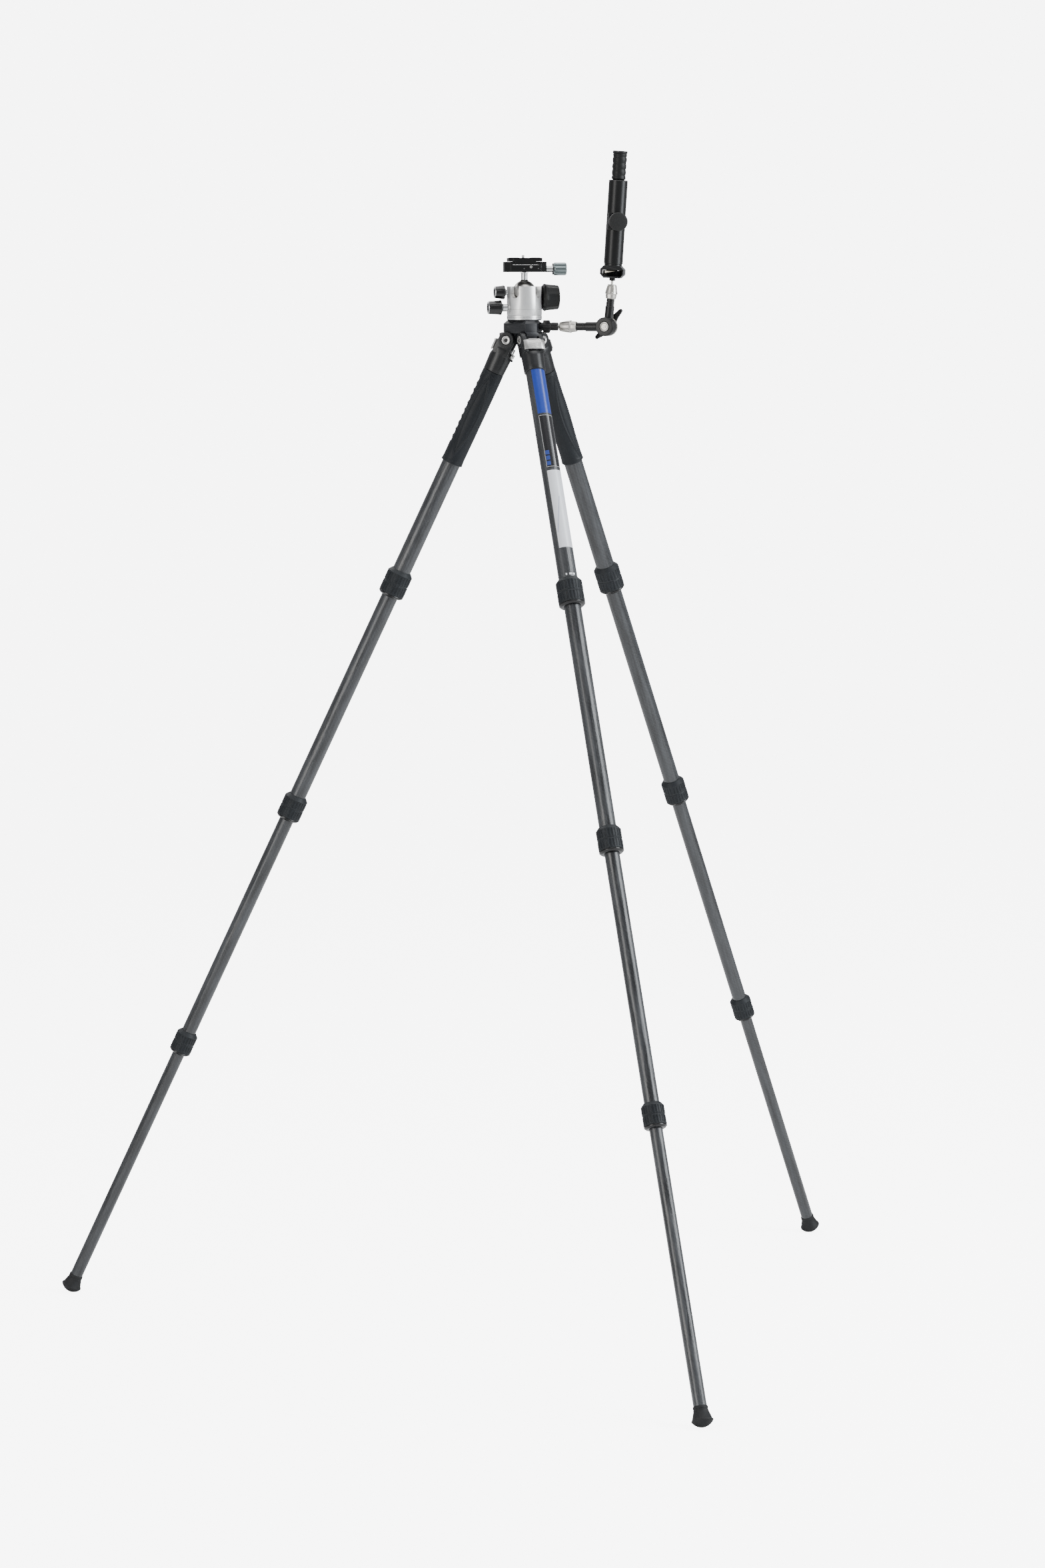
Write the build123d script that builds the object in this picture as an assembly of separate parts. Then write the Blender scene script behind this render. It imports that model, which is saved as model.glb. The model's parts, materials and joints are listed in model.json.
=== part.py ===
from build123d import *
import os
from math import asin, cos, degrees, hypot, radians, sin, sqrt

# A four-section travel tripod with a ball head and a jointed accessory arm.
# Millimetres and degrees. +Z is up and the floor is z = 0. The origin is the middle of the
# footprint's bounding box, and the front leg points along -Y.

# Clearances between pieces
FIT = 0.05  # radial, a shaft that turns or slides in its bore
GAP = 0.3  # between faces that move past each other

# Legs: three alike, around the apex axis
LEG_NAMES = ("front", "right", "left")
LEG_AZIMUTHS = (-90.0, 30.0, 150.0)
LEG_ANGLE = 25.43  # from vertical, on the first stop
PIVOT_R = 24.9
PIVOT_Z = 1483.0

# Distances along a leg are measured down from its hinge axis
TUBE_R = (14.0, 12.5, 11.0, 9.5)
TUBE_WALL = 1.2
LOCK_AT = (405.2, 787.1, 1196.4)
LOCK_R = (19.5, 18.2, 16.6)
LOCK_LENGTH = (42.5, 40.0, 37.5)
LOCK_CHAMFER = 1.5
TUBE_PAST_LOCK = 8.0  # how far a tube's end lies below its lock's middle
TUBE_TOPS = (26.0, 363.0, 734.0, 1133.0)
FOOT_TOP = 1612.0
FOOT_RIM_R = 15.65
FOOT_DOME_R = 18.1
FOOT_COLLAR_R = 10.4
FOOT_COLLAR_LENGTH = 7.0
FOOT_SOCKET = 5.0

# Hinge casting at the top of each leg
BARREL_R = 16.8
BARREL_TOP = 24.5
BARREL_END = 52.0
BARREL_CHAMFER = 1.5
CHEEK_R = 12.5
CHEEK_SPAN = 35.0
BLOCK_IN = -11.5
BLOCK_OUT = 14.0
FORK_DEPTH = 10.0
AXLE_R = 4.0
AXLE_HEAD_R = 6.5
AXLE_HEAD = 3.5
DETENT_OUT = -15.7
DETENT_ROD_R = 1.3
DETENT_HEAD_R = 3.9
DETENT_HEAD = 7.0
DETENT_TOP = -9.0

# Angle tab on each casting
TAB_WIDTH = 33.0
TAB_TOP, TAB_END = 6.0, 21.5
TAB_THICK = 3.0
TONGUE_WIDTH = 16.0
TONGUE_TOP, TONGUE_END = 11.8, 14.7
TONGUE_REACH = 15.0

# Rubber grip sleeves on the left and right legs
GRIP_LEGS = ("right", "left")
GRIP_R = 16.4
GRIP_TOP, GRIP_END = 52.0, 203.0

# Apex casting
LUG_WIDTH = 18.0
LUG_R = 9.0
FACET_OUT = 30.0
PLATE_LOW, PLATE_TOP = 1493.5, 1512.2
PLATE_CHAMFER = 4.5
HUB_R = 15.0
HUB_LOW = 1476.5
BEAK_OUT, BEAK_LOW = 36.5, 1489.5
HEAD_SCREW_R = 4.7
HEAD_SCREW_HEAD_R = 8.0
HEAD_SCREW_LOW, HEAD_SCREW_SEAT, HEAD_SCREW_TOP = 1477.5, 1484.0, 1523.0
FACET_GROOVE_Z, FACET_GROOVE_WIDTH = 1503.0, 34.0

# Ball head
HEAD_YAW = -8.0
HOUSING_R = 26.2
BASE_RING_LOW, BASE_RING_TOP = 1513.4, 1519.7
BASE_HUB_R, BASE_HUB_TOP = 12.0, 1527.0
HOUSING_LOW, HOUSING_TOP = 1520.0, 1562.7
BALL_R, BALL_Z = 17.3, 1554.7
CUP_LOW, CUP_TOP = 1535.0, 1546.0
NECK_R = 4.9
NOTCH_R, NOTCH_LOW = 7.5, 1545.3
NOTCH_ANGLES = (-45.0, -135.0)
MAIN_KNOB_Z, FRICTION_KNOB_Z, PAN_KNOB_Z = 1546.4, 1554.1, 1531.3
MAIN_SHAFT_R, SMALL_SHAFT_R = 5.0, 3.0

# Quick-release clamp and plate
CLAMP_YAW = -13.5
CLAMP_LOW, CLAMP_TOP = 1583.9, 1599.3
CLAMP_LEFT, CLAMP_RIGHT = -31.0, 32.4
CLAMP_HALF_DEPTH = 20.0
CLAMP_CORNER = 9.0
GROOVE_FLOOR = 1594.7
DOVETAIL_HALF, DOVETAIL_RISE = 19.0, 3.2
JAW_FROM = 23.3
PLATE_HALF_WIDTH, PLATE_HALF_DEPTH, QR_PLATE_TOP = 25.0, 21.0, 1605.1
CLAMP_SCREW_Z, CLAMP_SCREW_R = 1588.5, 3.0
CLAMP_KNOB_R, CLAMP_KNOB_FROM, CLAMP_KNOB_TO = 10.0, 42.2, 63.2
CLAMP_SHANK_R = 4.85
SWIVEL_STUD_R, SWIVEL_STUD_TOP = 3.0, 1590.0
CAMERA_SCREW_R = 3.175
ANTI_TWIST_R, ANTI_TWIST_Y, ANTI_TWIST_TOP = 1.9, 17.0, 1609.3

# Accessory arm, screwed into the facet between the front and right legs
PORT_ANGLE = -30.0
PORT_Z = 1503.0
PORT_FACE = 22.8
STUB_R, STUB_END = 6.1, 51.3
ARM_BALL_R, ARM_BALL_AT, ARM_NECK_R = 6.5, 62.0, 2.4
ARM_ANGLE = -39.5
LOWER_LENGTH = 64.4  # lower ball to elbow axis
UPPER_LENGTH = 54.3  # elbow axis to upper ball
UPPER_LEAN = 6.0
ROD_OFFSET = 4.5  # each rod lies to its own side of the elbow's middle
ELBOW_R = 14.1
ELBOW_FRONT, ELBOW_BACK = -13.0, 9.0
ELBOW_BOLT_R, ELBOW_NUT_R = 4.0, 7.0
COLLET_R, COLLET_MOUTH_R, COLLET_MOUTH = 9.35, 6.2, 8.3
SPIGOT_R = 4.95
LEVER_FROM, LEVER_TO, LEVER_REACH = 9.4, 17.0, 30.5

# Holder on the end of the arm, in a frame whose +Z is the end stud
STUD_LEAN = 3.8
HOLDER_YAW = -101.5  # the way its slot and knob face
BLOCK_WIDTH, BLOCK_HEIGHT, BLOCK_DEPTH = 34.8, 18.6, 26.0
BLOCK_CORNER = 5.5
BLOCK_TURN = -17.5  # the block is screwed on a little out of line with the knob
BLOCK_LOW = 17.8  # above the upper ball's centre
SLOT_WIDTH, SLOT_HEIGHT, SLOT_DEPTH = 28.7, 9.6, 8.0
SLOT_LOW = 2.9  # above the block's underside
HOLDER_TUBE_R, HOLDER_BORE_R, HOLDER_TUBE_LENGTH = 14.0, 11.2, 126.0
HOLDER_KNOB_R, HOLDER_KNOB_Z = 13.75, 101.5
GRIP_RIB_R, GRIP_OUT = 10.3, 43.0


def cylinder(radius, low, high):
    """A cylinder on the Z axis between two heights."""
    return Pos(0, 0, low) * Cylinder(radius, high - low, align=(Align.CENTER, Align.CENTER, Align.MIN))


def block(x0, x1, y0, y1, z0, z1):
    """A box between two corners."""
    return Pos(x0, y0, z0) * Box(x1 - x0, y1 - y0, z1 - z0, align=(Align.MIN, Align.MIN, Align.MIN))


def turned(*points):
    """The solid that a closed (radius, height) outline sweeps around the Z axis."""
    return revolve(Plane.XZ * make_face(Polyline(*points, close=True)), Axis.Z)


def along_x(shape):
    """Lays a shape made along +Z down along +X."""
    return Rot(0, 90, 0) * shape


def along_y(shape):
    """Lays a shape made along +Z down along +Y."""
    return Rot(-90, 0, 0) * shape


# The geometry of the standing legs gives where the footprint's middle lies
rim_height = sqrt(FOOT_DOME_R**2 - FOOT_RIM_R**2)
dome_at = (PIVOT_Z - FOOT_DOME_R) / cos(radians(LEG_ANGLE))
rim_at = dome_at + rim_height
rim_out = PIVOT_R + rim_at * sin(radians(LEG_ANGLE))
front_reach = rim_out + FOOT_RIM_R * cos(radians(LEG_ANGLE))
side_lean = sin(radians(LEG_ANGLE)) * 0.5
back_reach = rim_out * 0.5 + FOOT_RIM_R * sqrt(1 - side_lean**2)
APEX_Y = (front_reach - back_reach) / 2

APEX = Pos(0, APEX_Y, 0)
HEAD = APEX * Rot(0, 0, HEAD_YAW)
CLAMP = APEX * Rot(0, 0, CLAMP_YAW)
PORT = APEX * Rot(0, 0, PORT_ANGLE) * Pos(0, 0, PORT_Z)
ARM = PORT * Pos(ARM_BALL_AT, 0, 0) * Rot(0, 0, ARM_ANGLE - PORT_ANGLE)
ELBOW = ARM * Pos(LOWER_LENGTH, ROD_OFFSET, 0)
UPPER = ELBOW * Pos(0, ROD_OFFSET, 0) * Rot(0, UPPER_LEAN, 0)
UPPER_BALL = UPPER * Pos(0, 0, UPPER_LENGTH)
STUD = UPPER_BALL * Rot(0, STUD_LEAN - UPPER_LEAN, 0)
HOLDER = STUD * Rot(0, 0, HOLDER_YAW - ARM_ANGLE)


def leg_frame(azimuth):
    """A leg's frame: origin on its hinge axis, -Z down the leg, +X outwards, +Y along the axle."""
    return APEX * Rot(0, 0, azimuth) * Pos(PIVOT_R, 0, PIVOT_Z) * Rot(0, -LEG_ANGLE, 0)


def leg_tube(n):
    """Section n of a leg, a plain carbon tube that slides in the section above it."""
    low = FOOT_TOP + FOOT_SOCKET if n == 3 else LOCK_AT[n] + TUBE_PAST_LOCK
    top = TUBE_TOPS[n]
    return cylinder(TUBE_R[n], -low, -top) - cylinder(TUBE_R[n] - TUBE_WALL, -low - 1, -top + 1)


def twist_lock(n):
    """A twist-lock collar: it turns on the end of section n and lets section n + 1 through."""
    low, top = LOCK_AT[n] + LOCK_LENGTH[n] / 2, LOCK_AT[n] - LOCK_LENGTH[n] / 2
    seat = LOCK_AT[n] + TUBE_PAST_LOCK + GAP
    r, c = LOCK_R[n], LOCK_CHAMFER
    upper, lower = TUBE_R[n] + FIT, TUBE_R[n + 1] + GAP
    return turned(
        (upper, -top), (r - c, -top), (r, -top - c), (r, -low + c), (r - c, -low),
        (lower, -low), (lower, -seat), (upper, -seat),
    )


def foot():
    """A rubber foot: a collar round the tube's end and a domed pad."""
    collar_end = FOOT_TOP + FOOT_COLLAR_LENGTH
    outline = [
        (0, -FOOT_TOP - FOOT_SOCKET), (TUBE_R[3], -FOOT_TOP - FOOT_SOCKET), (TUBE_R[3], -FOOT_TOP),
        (FOOT_COLLAR_R, -FOOT_TOP), (FOOT_COLLAR_R, -collar_end), (FOOT_RIM_R, -rim_at),
    ]
    half = radians(degrees(asin(FOOT_RIM_R / FOOT_DOME_R)) / 2)
    middle = (FOOT_DOME_R * sin(half), -dome_at - FOOT_DOME_R * cos(half))
    dome = ThreePointArc(outline[-1], middle, (0, -dome_at - FOOT_DOME_R))
    axis = Line((0, -dome_at - FOOT_DOME_R), outline[0])
    return revolve(Plane.XZ * make_face(Polyline(*outline) + dome + axis), Axis.Z)


def hinge_casting():
    """The fork that turns on the apex casting's lug and holds the top tube, with its detent pin."""
    half = CHEEK_SPAN / 2
    body = block(BLOCK_IN, BLOCK_OUT, -half, half, -BARREL_TOP - 1, 0)
    body += along_y(cylinder(CHEEK_R, -half, half))
    body += chamfer(
        cylinder(BARREL_R, -BARREL_END, -BARREL_TOP).edges().sort_by(Axis.Z)[0:1], BARREL_CHAMFER
    )
    body -= cylinder(TUBE_R[0], -BARREL_END - 1, -TUBE_TOPS[0])
    slot_half = LUG_WIDTH / 2 + GAP
    body -= block(-2 * CHEEK_R, 2 * CHEEK_R, -slot_half, slot_half, -FORK_DEPTH, 2 * CHEEK_R)
    body -= along_y(cylinder(AXLE_R + FIT, -half - 1, half + 1))
    for side in (-1, 1):
        low, high = sorted((side * (half - AXLE_HEAD - GAP), side * (half + 1)))
        body -= along_y(cylinder(AXLE_HEAD_R + FIT, low, high))
    tongue_half = TONGUE_WIDTH / 2 + GAP
    reach = BLOCK_OUT - TONGUE_REACH - GAP
    body -= block(reach, BLOCK_OUT + 1, -tongue_half, tongue_half, -TONGUE_END - GAP, -TONGUE_TOP + GAP)
    return body


def detent_pin():
    """The steel pin on the inner ledge of a casting: a cylindrical head and a thin rod."""
    head = cylinder(DETENT_HEAD_R, -BARREL_TOP, -BARREL_TOP + DETENT_HEAD)
    rod_low = -BARREL_TOP + DETENT_HEAD - 1
    return Pos(DETENT_OUT, 0, 0) * (head + cylinder(DETENT_ROD_R, rod_low, DETENT_TOP))


def angle_tab():
    """The pull tab that sets how wide a leg opens: a face plate and a tongue into the casting."""
    front = BLOCK_OUT + GAP
    plate = block(front, front + TAB_THICK, -TAB_WIDTH / 2, TAB_WIDTH / 2, -TAB_END, -TAB_TOP)
    half = TONGUE_WIDTH / 2
    return plate + block(BLOCK_OUT - TONGUE_REACH, front + 1, -half, half, -TONGUE_END, -TONGUE_TOP)


def grip_sleeve():
    """The moulded rubber sleeve on a top tube, as its plain outer shape."""
    return cylinder(GRIP_R, -GRIP_END, -GRIP_TOP) - cylinder(TUBE_R[0], -GRIP_END - 1, -GRIP_TOP + 1)


def leg_axle():
    """A leg's hinge bolt, with a head at each end, along the leg frame's Y axis."""
    half = CHEEK_SPAN / 2
    shaft = cylinder(AXLE_R, -half + 1, half - 1)
    heads = [cylinder(AXLE_HEAD_R, *sorted((s * (half - AXLE_HEAD), s * half))) for s in (-1, 1)]
    return along_y(shaft + heads[0] + heads[1])


def apex_casting():
    """The apex casting: a six-sided plate, three hinge lugs and the bore for the head's screw."""
    corners = []
    for azimuth in LEG_AZIMUTHS:
        for side in (-LUG_WIDTH / 2, LUG_WIDTH / 2):
            a = radians(azimuth) + asin(side / hypot(FACET_OUT, side))
            r = hypot(FACET_OUT, side)
            corners.append((r * cos(a), r * sin(a)))
    plate = extrude(make_face(Polyline(*corners, close=True)), PLATE_TOP - PLATE_LOW)
    plate = chamfer(plate.edges().group_by(Axis.Z)[-1], PLATE_CHAMFER)
    body = Pos(0, 0, PLATE_LOW) * plate + cylinder(HUB_R, HUB_LOW, PLATE_LOW + 1)
    half = LUG_WIDTH / 2
    for azimuth in LEG_AZIMUTHS:
        lug = block(0, PIVOT_R, -half, half, PIVOT_Z - LUG_R / 2, PLATE_LOW + 1)
        lug += Pos(PIVOT_R, 0, PIVOT_Z) * along_y(cylinder(LUG_R, -half, half))
        lug += block(PIVOT_R, BEAK_OUT, -half, half, BEAK_LOW, PLATE_LOW + 0.5)
        lug += block(PIVOT_R - LUG_R, PIVOT_R + LUG_R, -half, half, PIVOT_Z, PLATE_LOW + 1)
        body += Rot(0, 0, azimuth) * lug
    for azimuth in LEG_AZIMUTHS:
        hinge = Rot(0, 0, azimuth) * Pos(PIVOT_R, 0, PIVOT_Z)
        body -= hinge * along_y(cylinder(AXLE_R, -20, 20))
        for side in (-1, 1):
            relief = sorted((side * half, side * (CHEEK_SPAN / 2 + GAP)))
            body -= hinge * along_y(cylinder(CHEEK_R + GAP, *relief))
        groove = block(PORT_FACE - 1, PORT_FACE + 5, -FACET_GROOVE_WIDTH / 2, FACET_GROOVE_WIDTH / 2,
                       FACET_GROOVE_Z - 1, FACET_GROOVE_Z + 1)
        if azimuth != -90.0:
            body -= Rot(0, 0, azimuth + 60) * groove
    body -= cylinder(HEAD_SCREW_R + GAP, HUB_LOW - 1, PLATE_TOP + 1)
    body -= cylinder(HEAD_SCREW_HEAD_R + 2 * GAP, HUB_LOW - 1, HEAD_SCREW_SEAT)
    return body - Rot(0, 0, PORT_ANGLE) * Pos(0, 0, PORT_Z) * along_x(cylinder(HEAD_SCREW_R, 14, 40))


def head_screw():
    """The captive screw that holds the head to the apex casting, from below."""
    head = cylinder(HEAD_SCREW_HEAD_R, HEAD_SCREW_LOW, HEAD_SCREW_SEAT)
    return head + cylinder(HEAD_SCREW_R, HEAD_SCREW_SEAT, HEAD_SCREW_TOP)


def pan_base():
    """The fixed base ring of the head, with the spigot that the housing pans on."""
    body = cylinder(HOUSING_R - 1.2, PLATE_TOP, BASE_RING_LOW)
    body += cylinder(HOUSING_R, BASE_RING_LOW, BASE_RING_TOP)
    body += cylinder(BASE_HUB_R, BASE_RING_TOP, BASE_HUB_TOP)
    return body - cylinder(HEAD_SCREW_R, PLATE_TOP - 1, HEAD_SCREW_TOP)


def housing():
    """The head's housing: a cup round the ball, with two drop notches and three knob bores."""
    body = cylinder(HOUSING_R, HOUSING_LOW, HOUSING_TOP)
    body -= cylinder(BASE_HUB_R + FIT, HOUSING_LOW - 1, BASE_HUB_TOP + GAP)
    body -= cylinder(BALL_R + GAP, CUP_LOW, BALL_Z)
    body -= Pos(0, 0, BALL_Z) * Sphere(BALL_R + GAP)
    centre = NOTCH_LOW + NOTCH_R
    for angle in NOTCH_ANGLES:
        notch = along_x(cylinder(NOTCH_R, 5, 30))
        notch += block(5, 30, -NOTCH_R, NOTCH_R, 0, 20)
        body -= Rot(0, 0, angle) * Pos(0, 0, centre) * notch
    body -= Pos(0, 0, MAIN_KNOB_Z) * along_x(cylinder(MAIN_SHAFT_R + FIT, 12, 30))
    body -= Pos(0, 0, FRICTION_KNOB_Z) * along_x(cylinder(SMALL_SHAFT_R + FIT, -30, -12))
    return body - Pos(0, 0, PAN_KNOB_Z) * along_x(cylinder(SMALL_SHAFT_R + FIT, -30, -13))


def ball():
    """The ball and its neck, with the stud that the clamp turns on."""
    body = Pos(0, 0, BALL_Z) * Sphere(BALL_R)
    body += cylinder(NECK_R, BALL_Z, CLAMP_LOW - GAP)
    return body + cylinder(SWIVEL_STUD_R, BALL_Z, SWIVEL_STUD_TOP)


def ball_cup():
    """The friction cup under the ball."""
    cup = cylinder(BALL_R, CUP_LOW, CUP_TOP) - Pos(0, 0, BALL_Z) * Sphere(BALL_R + GAP)
    return cup - cylinder(6, CUP_LOW - 1, CUP_TOP)


def main_knob():
    """The large rubber locking knob, tapered, with its shaft."""
    outline = ((0, 18.6), (MAIN_SHAFT_R, 18.6), (MAIN_SHAFT_R, 26.8), (20.4, 26.8), (20.4, 30), (18, 50),
               (15, 52.5), (0, 52.5))
    return Pos(0, 0, MAIN_KNOB_Z) * along_x(turned(*outline))


def friction_knob():
    """The small upper knob that sets the ball's drag."""
    outline = ((0, 18.6), (SMALL_SHAFT_R, 18.6), (SMALL_SHAFT_R, 26.8), (4.2, 26.8), (4.2, 28.2),
               (10.5, 31), (10.5, 33.5), (8.6, 45.5), (0, 45.5))
    return Pos(0, 0, FRICTION_KNOB_Z) * Rot(0, -90, 0) * turned(*outline)


def pan_knob():
    """The lower knob that locks the pan, on a thick shank."""
    outline = ((0, 13.6), (SMALL_SHAFT_R, 13.6), (SMALL_SHAFT_R, 26.8), (5.6, 26.8), (5.6, 33),
               (8.6, 33), (11, 36), (11, 37.5), (9.4, 55.5), (0, 55.5))
    return Pos(0, 0, PAN_KNOB_Z) * Rot(0, -90, 0) * turned(*outline)


def across(points, half_depth):
    """A constant (x, z) section along Y."""
    face = Plane.XZ * make_face(Polyline(*points, close=True))
    return extrude(face, half_depth, both=True)


def clamp_corners(body):
    """Cuts the vertical corners of the clamp at 45 degrees."""
    for x in (CLAMP_LEFT, CLAMP_RIGHT):
        for y in (-CLAMP_HALF_DEPTH, CLAMP_HALF_DEPTH):
            size = CLAMP_CORNER * sqrt(2)
            body -= Pos(x, y, (CLAMP_LOW + CLAMP_TOP) / 2) * Rot(0, 0, 45) * Box(size, size, 40)
    return body


def clamp_body():
    """The fixed half of the quick-release clamp, with its dovetail wall."""
    inner = -(DOVETAIL_HALF + GAP)
    slope_top = GROOVE_FLOOR + DOVETAIL_RISE
    section = (
        (CLAMP_LEFT, CLAMP_LOW), (JAW_FROM - GAP, CLAMP_LOW), (JAW_FROM - GAP, GROOVE_FLOOR),
        (inner, GROOVE_FLOOR), (inner + DOVETAIL_RISE, slope_top), (inner + DOVETAIL_RISE, CLAMP_TOP),
        (CLAMP_LEFT, CLAMP_TOP),
    )
    body = clamp_corners(across(section, CLAMP_HALF_DEPTH))
    body -= cylinder(SWIVEL_STUD_R + FIT, CLAMP_LOW - 1, SWIVEL_STUD_TOP + GAP)
    return body - Pos(0, 0, CLAMP_SCREW_Z) * along_x(cylinder(CLAMP_SCREW_R + GAP, 5, 40))


def clamp_jaw():
    """The moving jaw, pulled in by the clamp knob's screw."""
    lip = DOVETAIL_HALF + GAP
    base = GROOVE_FLOOR + 0.2
    section = (
        (JAW_FROM, CLAMP_LOW), (CLAMP_RIGHT, CLAMP_LOW), (CLAMP_RIGHT, CLAMP_TOP),
        (lip - DOVETAIL_RISE, CLAMP_TOP), (lip - DOVETAIL_RISE, base + DOVETAIL_RISE), (lip, base),
        (JAW_FROM, base),
    )
    body = clamp_corners(across(section, CLAMP_HALF_DEPTH))
    return body - Pos(0, 0, CLAMP_SCREW_Z) * along_x(cylinder(CLAMP_SCREW_R + FIT, 20, 40))


def clamp_knob():
    """The clamp's fluted knob, its shank and its screw."""
    outline = ((0, 6), (CLAMP_SCREW_R, 6), (CLAMP_SCREW_R, CLAMP_RIGHT + 0.1),
               (CLAMP_SHANK_R, CLAMP_RIGHT + 0.1), (CLAMP_SHANK_R, CLAMP_KNOB_FROM),
               (CLAMP_KNOB_R, CLAMP_KNOB_FROM), (CLAMP_KNOB_R, CLAMP_KNOB_TO), (0, CLAMP_KNOB_TO))
    return Pos(0, 0, CLAMP_SCREW_Z) * along_x(turned(*outline))


def quick_plate():
    """The dovetail plate that the camera sits on, with its anti-twist pin."""
    base = GROOVE_FLOOR + 0.2
    neck = DOVETAIL_HALF - DOVETAIL_RISE
    shelf = CLAMP_TOP + GAP
    right = ((DOVETAIL_HALF, base), (neck, base + DOVETAIL_RISE), (neck, shelf),
             (PLATE_HALF_WIDTH, shelf), (PLATE_HALF_WIDTH, QR_PLATE_TOP))
    left = [(-x, z) for x, z in reversed(right)]
    body = across((*right, *left), PLATE_HALF_DEPTH)
    body -= cylinder(CAMERA_SCREW_R + FIT, base - 1, QR_PLATE_TOP + 1)
    body -= cylinder(6.8, base - 1, base + DOVETAIL_RISE)
    return body + Pos(0, ANTI_TWIST_Y, 0) * cylinder(ANTI_TWIST_R, QR_PLATE_TOP - 1, ANTI_TWIST_TOP)


def camera_screw():
    """The captive quarter-inch camera screw, let down into the plate."""
    head = cylinder(6.5, GROOVE_FLOOR + 0.5, GROOVE_FLOOR + DOVETAIL_RISE - 0.2)
    return head + cylinder(CAMERA_SCREW_R, GROOVE_FLOOR + 1, QR_PLATE_TOP - 0.4)


def arm_base():
    """The arm's stub: a threaded stud, an anti-twist block, a round body and its ball."""
    body = cylinder(HEAD_SCREW_R, 14.2, PORT_FACE) + cylinder(STUB_R, PORT_FACE, STUB_END)
    body += block(-9.15, 9.15, -5, 5, 29, 38.5)
    body += cylinder(ARM_NECK_R, STUB_END - 1, ARM_BALL_AT) + Pos(0, 0, ARM_BALL_AT) * Sphere(ARM_BALL_R)
    return along_x(body)


def collet(mouth, widest, end):
    """A ball-joint collet on the Z axis: the ball's centre is at 0 and the mouth faces -Z."""
    body = turned((0, -mouth), (COLLET_MOUTH_R, -mouth), (COLLET_R, widest), (7.4, end), (0, end))
    body -= Sphere(ARM_BALL_R + GAP) + cylinder(SPIGOT_R + FIT, 4, end + 1)
    return body - turned((0, -mouth - 0.1), (5.7, -mouth - 0.1), (4.9, -3.5), (0, -3.5))


def rod(start, step, end):
    """A rod on the Z axis with a spigot at each collet end, thicker towards the elbow."""
    return cylinder(SPIGOT_R, start - 9.5, start) + cylinder(6.0, start, step) + cylinder(7.0, step, end)


def lower_rod():
    """The lower rod and its half of the elbow, with the elbow's front cap."""
    body = Pos(-LOWER_LENGTH, -ROD_OFFSET, 0) * along_x(rod(18.8, 33.0, LOWER_LENGTH - ELBOW_R - GAP))
    body += block(-ELBOW_R - 3, 0, -2 * ROD_OFFSET, -GAP / 2, -6, 6)
    body += along_y(cylinder(ELBOW_R, ELBOW_FRONT, -GAP / 2))
    return body - along_y(cylinder(ELBOW_BOLT_R, ELBOW_FRONT - 1, 1))


def upper_rod():
    """The upper rod and its half of the elbow, upright in its own frame."""
    start = 13.0
    body = Pos(0, 0, UPPER_LENGTH) * Rot(180, 0, 0) * rod_upper(start)
    body += block(-6, 6, -ROD_OFFSET + GAP / 2, ROD_OFFSET, 0, ELBOW_R + 3)
    body += along_y(cylinder(ELBOW_R, -ROD_OFFSET + GAP / 2, ROD_OFFSET))
    return body - along_y(cylinder(ELBOW_BOLT_R + FIT, -ROD_OFFSET - 1, ROD_OFFSET + 1))


def rod_upper(start):
    """The upper rod seen from its ball: spigot, thin part, thick part."""
    body = cylinder(SPIGOT_R, start - 5.5, start + GAP) + cylinder(6.0, start + GAP, 24.0)
    return body + cylinder(6.7, 24.0, UPPER_LENGTH - ELBOW_R - GAP)


def elbow_bolt():
    """The elbow's bolt, with a round pin nut at the front."""
    nut = cylinder(ELBOW_NUT_R, ELBOW_FRONT - 1.6, ELBOW_FRONT)
    return along_y(nut + cylinder(ELBOW_BOLT_R, ELBOW_FRONT - 1, LEVER_TO - 2))


def wing_lever():
    """The two-winged lever that locks the elbow."""
    hub = cylinder(9.0, LEVER_FROM, LEVER_TO)
    wings = block(-LEVER_REACH, LEVER_REACH, -6, 6, LEVER_TO - 5, LEVER_TO - 1)
    wings &= cylinder(LEVER_REACH, LEVER_FROM, LEVER_TO)
    return Rot(0, -46, 0) * along_y(hub + wings - cylinder(ELBOW_BOLT_R + FIT, LEVER_FROM - 1, LEVER_TO - 1.5))


def end_ball():
    """The upper ball with its neck, nut and threaded stud, along +Z."""
    body = Sphere(ARM_BALL_R) + cylinder(1.9, 0, BLOCK_LOW - 2)
    body += cylinder(4.4, BLOCK_LOW - 3, BLOCK_LOW)
    return body + cylinder(3.175, BLOCK_LOW, BLOCK_LOW + 5)


def holder_block():
    """The holder's eight-sided block, with a slot in its face. Its front is +X."""
    w, h, c = BLOCK_WIDTH / 2, BLOCK_HEIGHT, BLOCK_CORNER
    outline = ((-w, c), (-w + c, 0), (w - c, 0), (w, c), (w, h - c), (w - c, h), (-w + c, h), (-w, h - c))
    body = extrude(Plane.YZ * make_face(Polyline(*outline, close=True)), BLOCK_DEPTH / 2, both=True)
    front = BLOCK_DEPTH / 2
    low, high = SLOT_LOW, SLOT_LOW + SLOT_HEIGHT
    body -= block(front - SLOT_DEPTH, front + 1, -SLOT_WIDTH / 2, SLOT_WIDTH / 2, low, high)
    return Pos(0, 0, BLOCK_LOW) * Rot(0, 0, BLOCK_TURN) * (body - cylinder(3.175, -1, 5))


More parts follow.
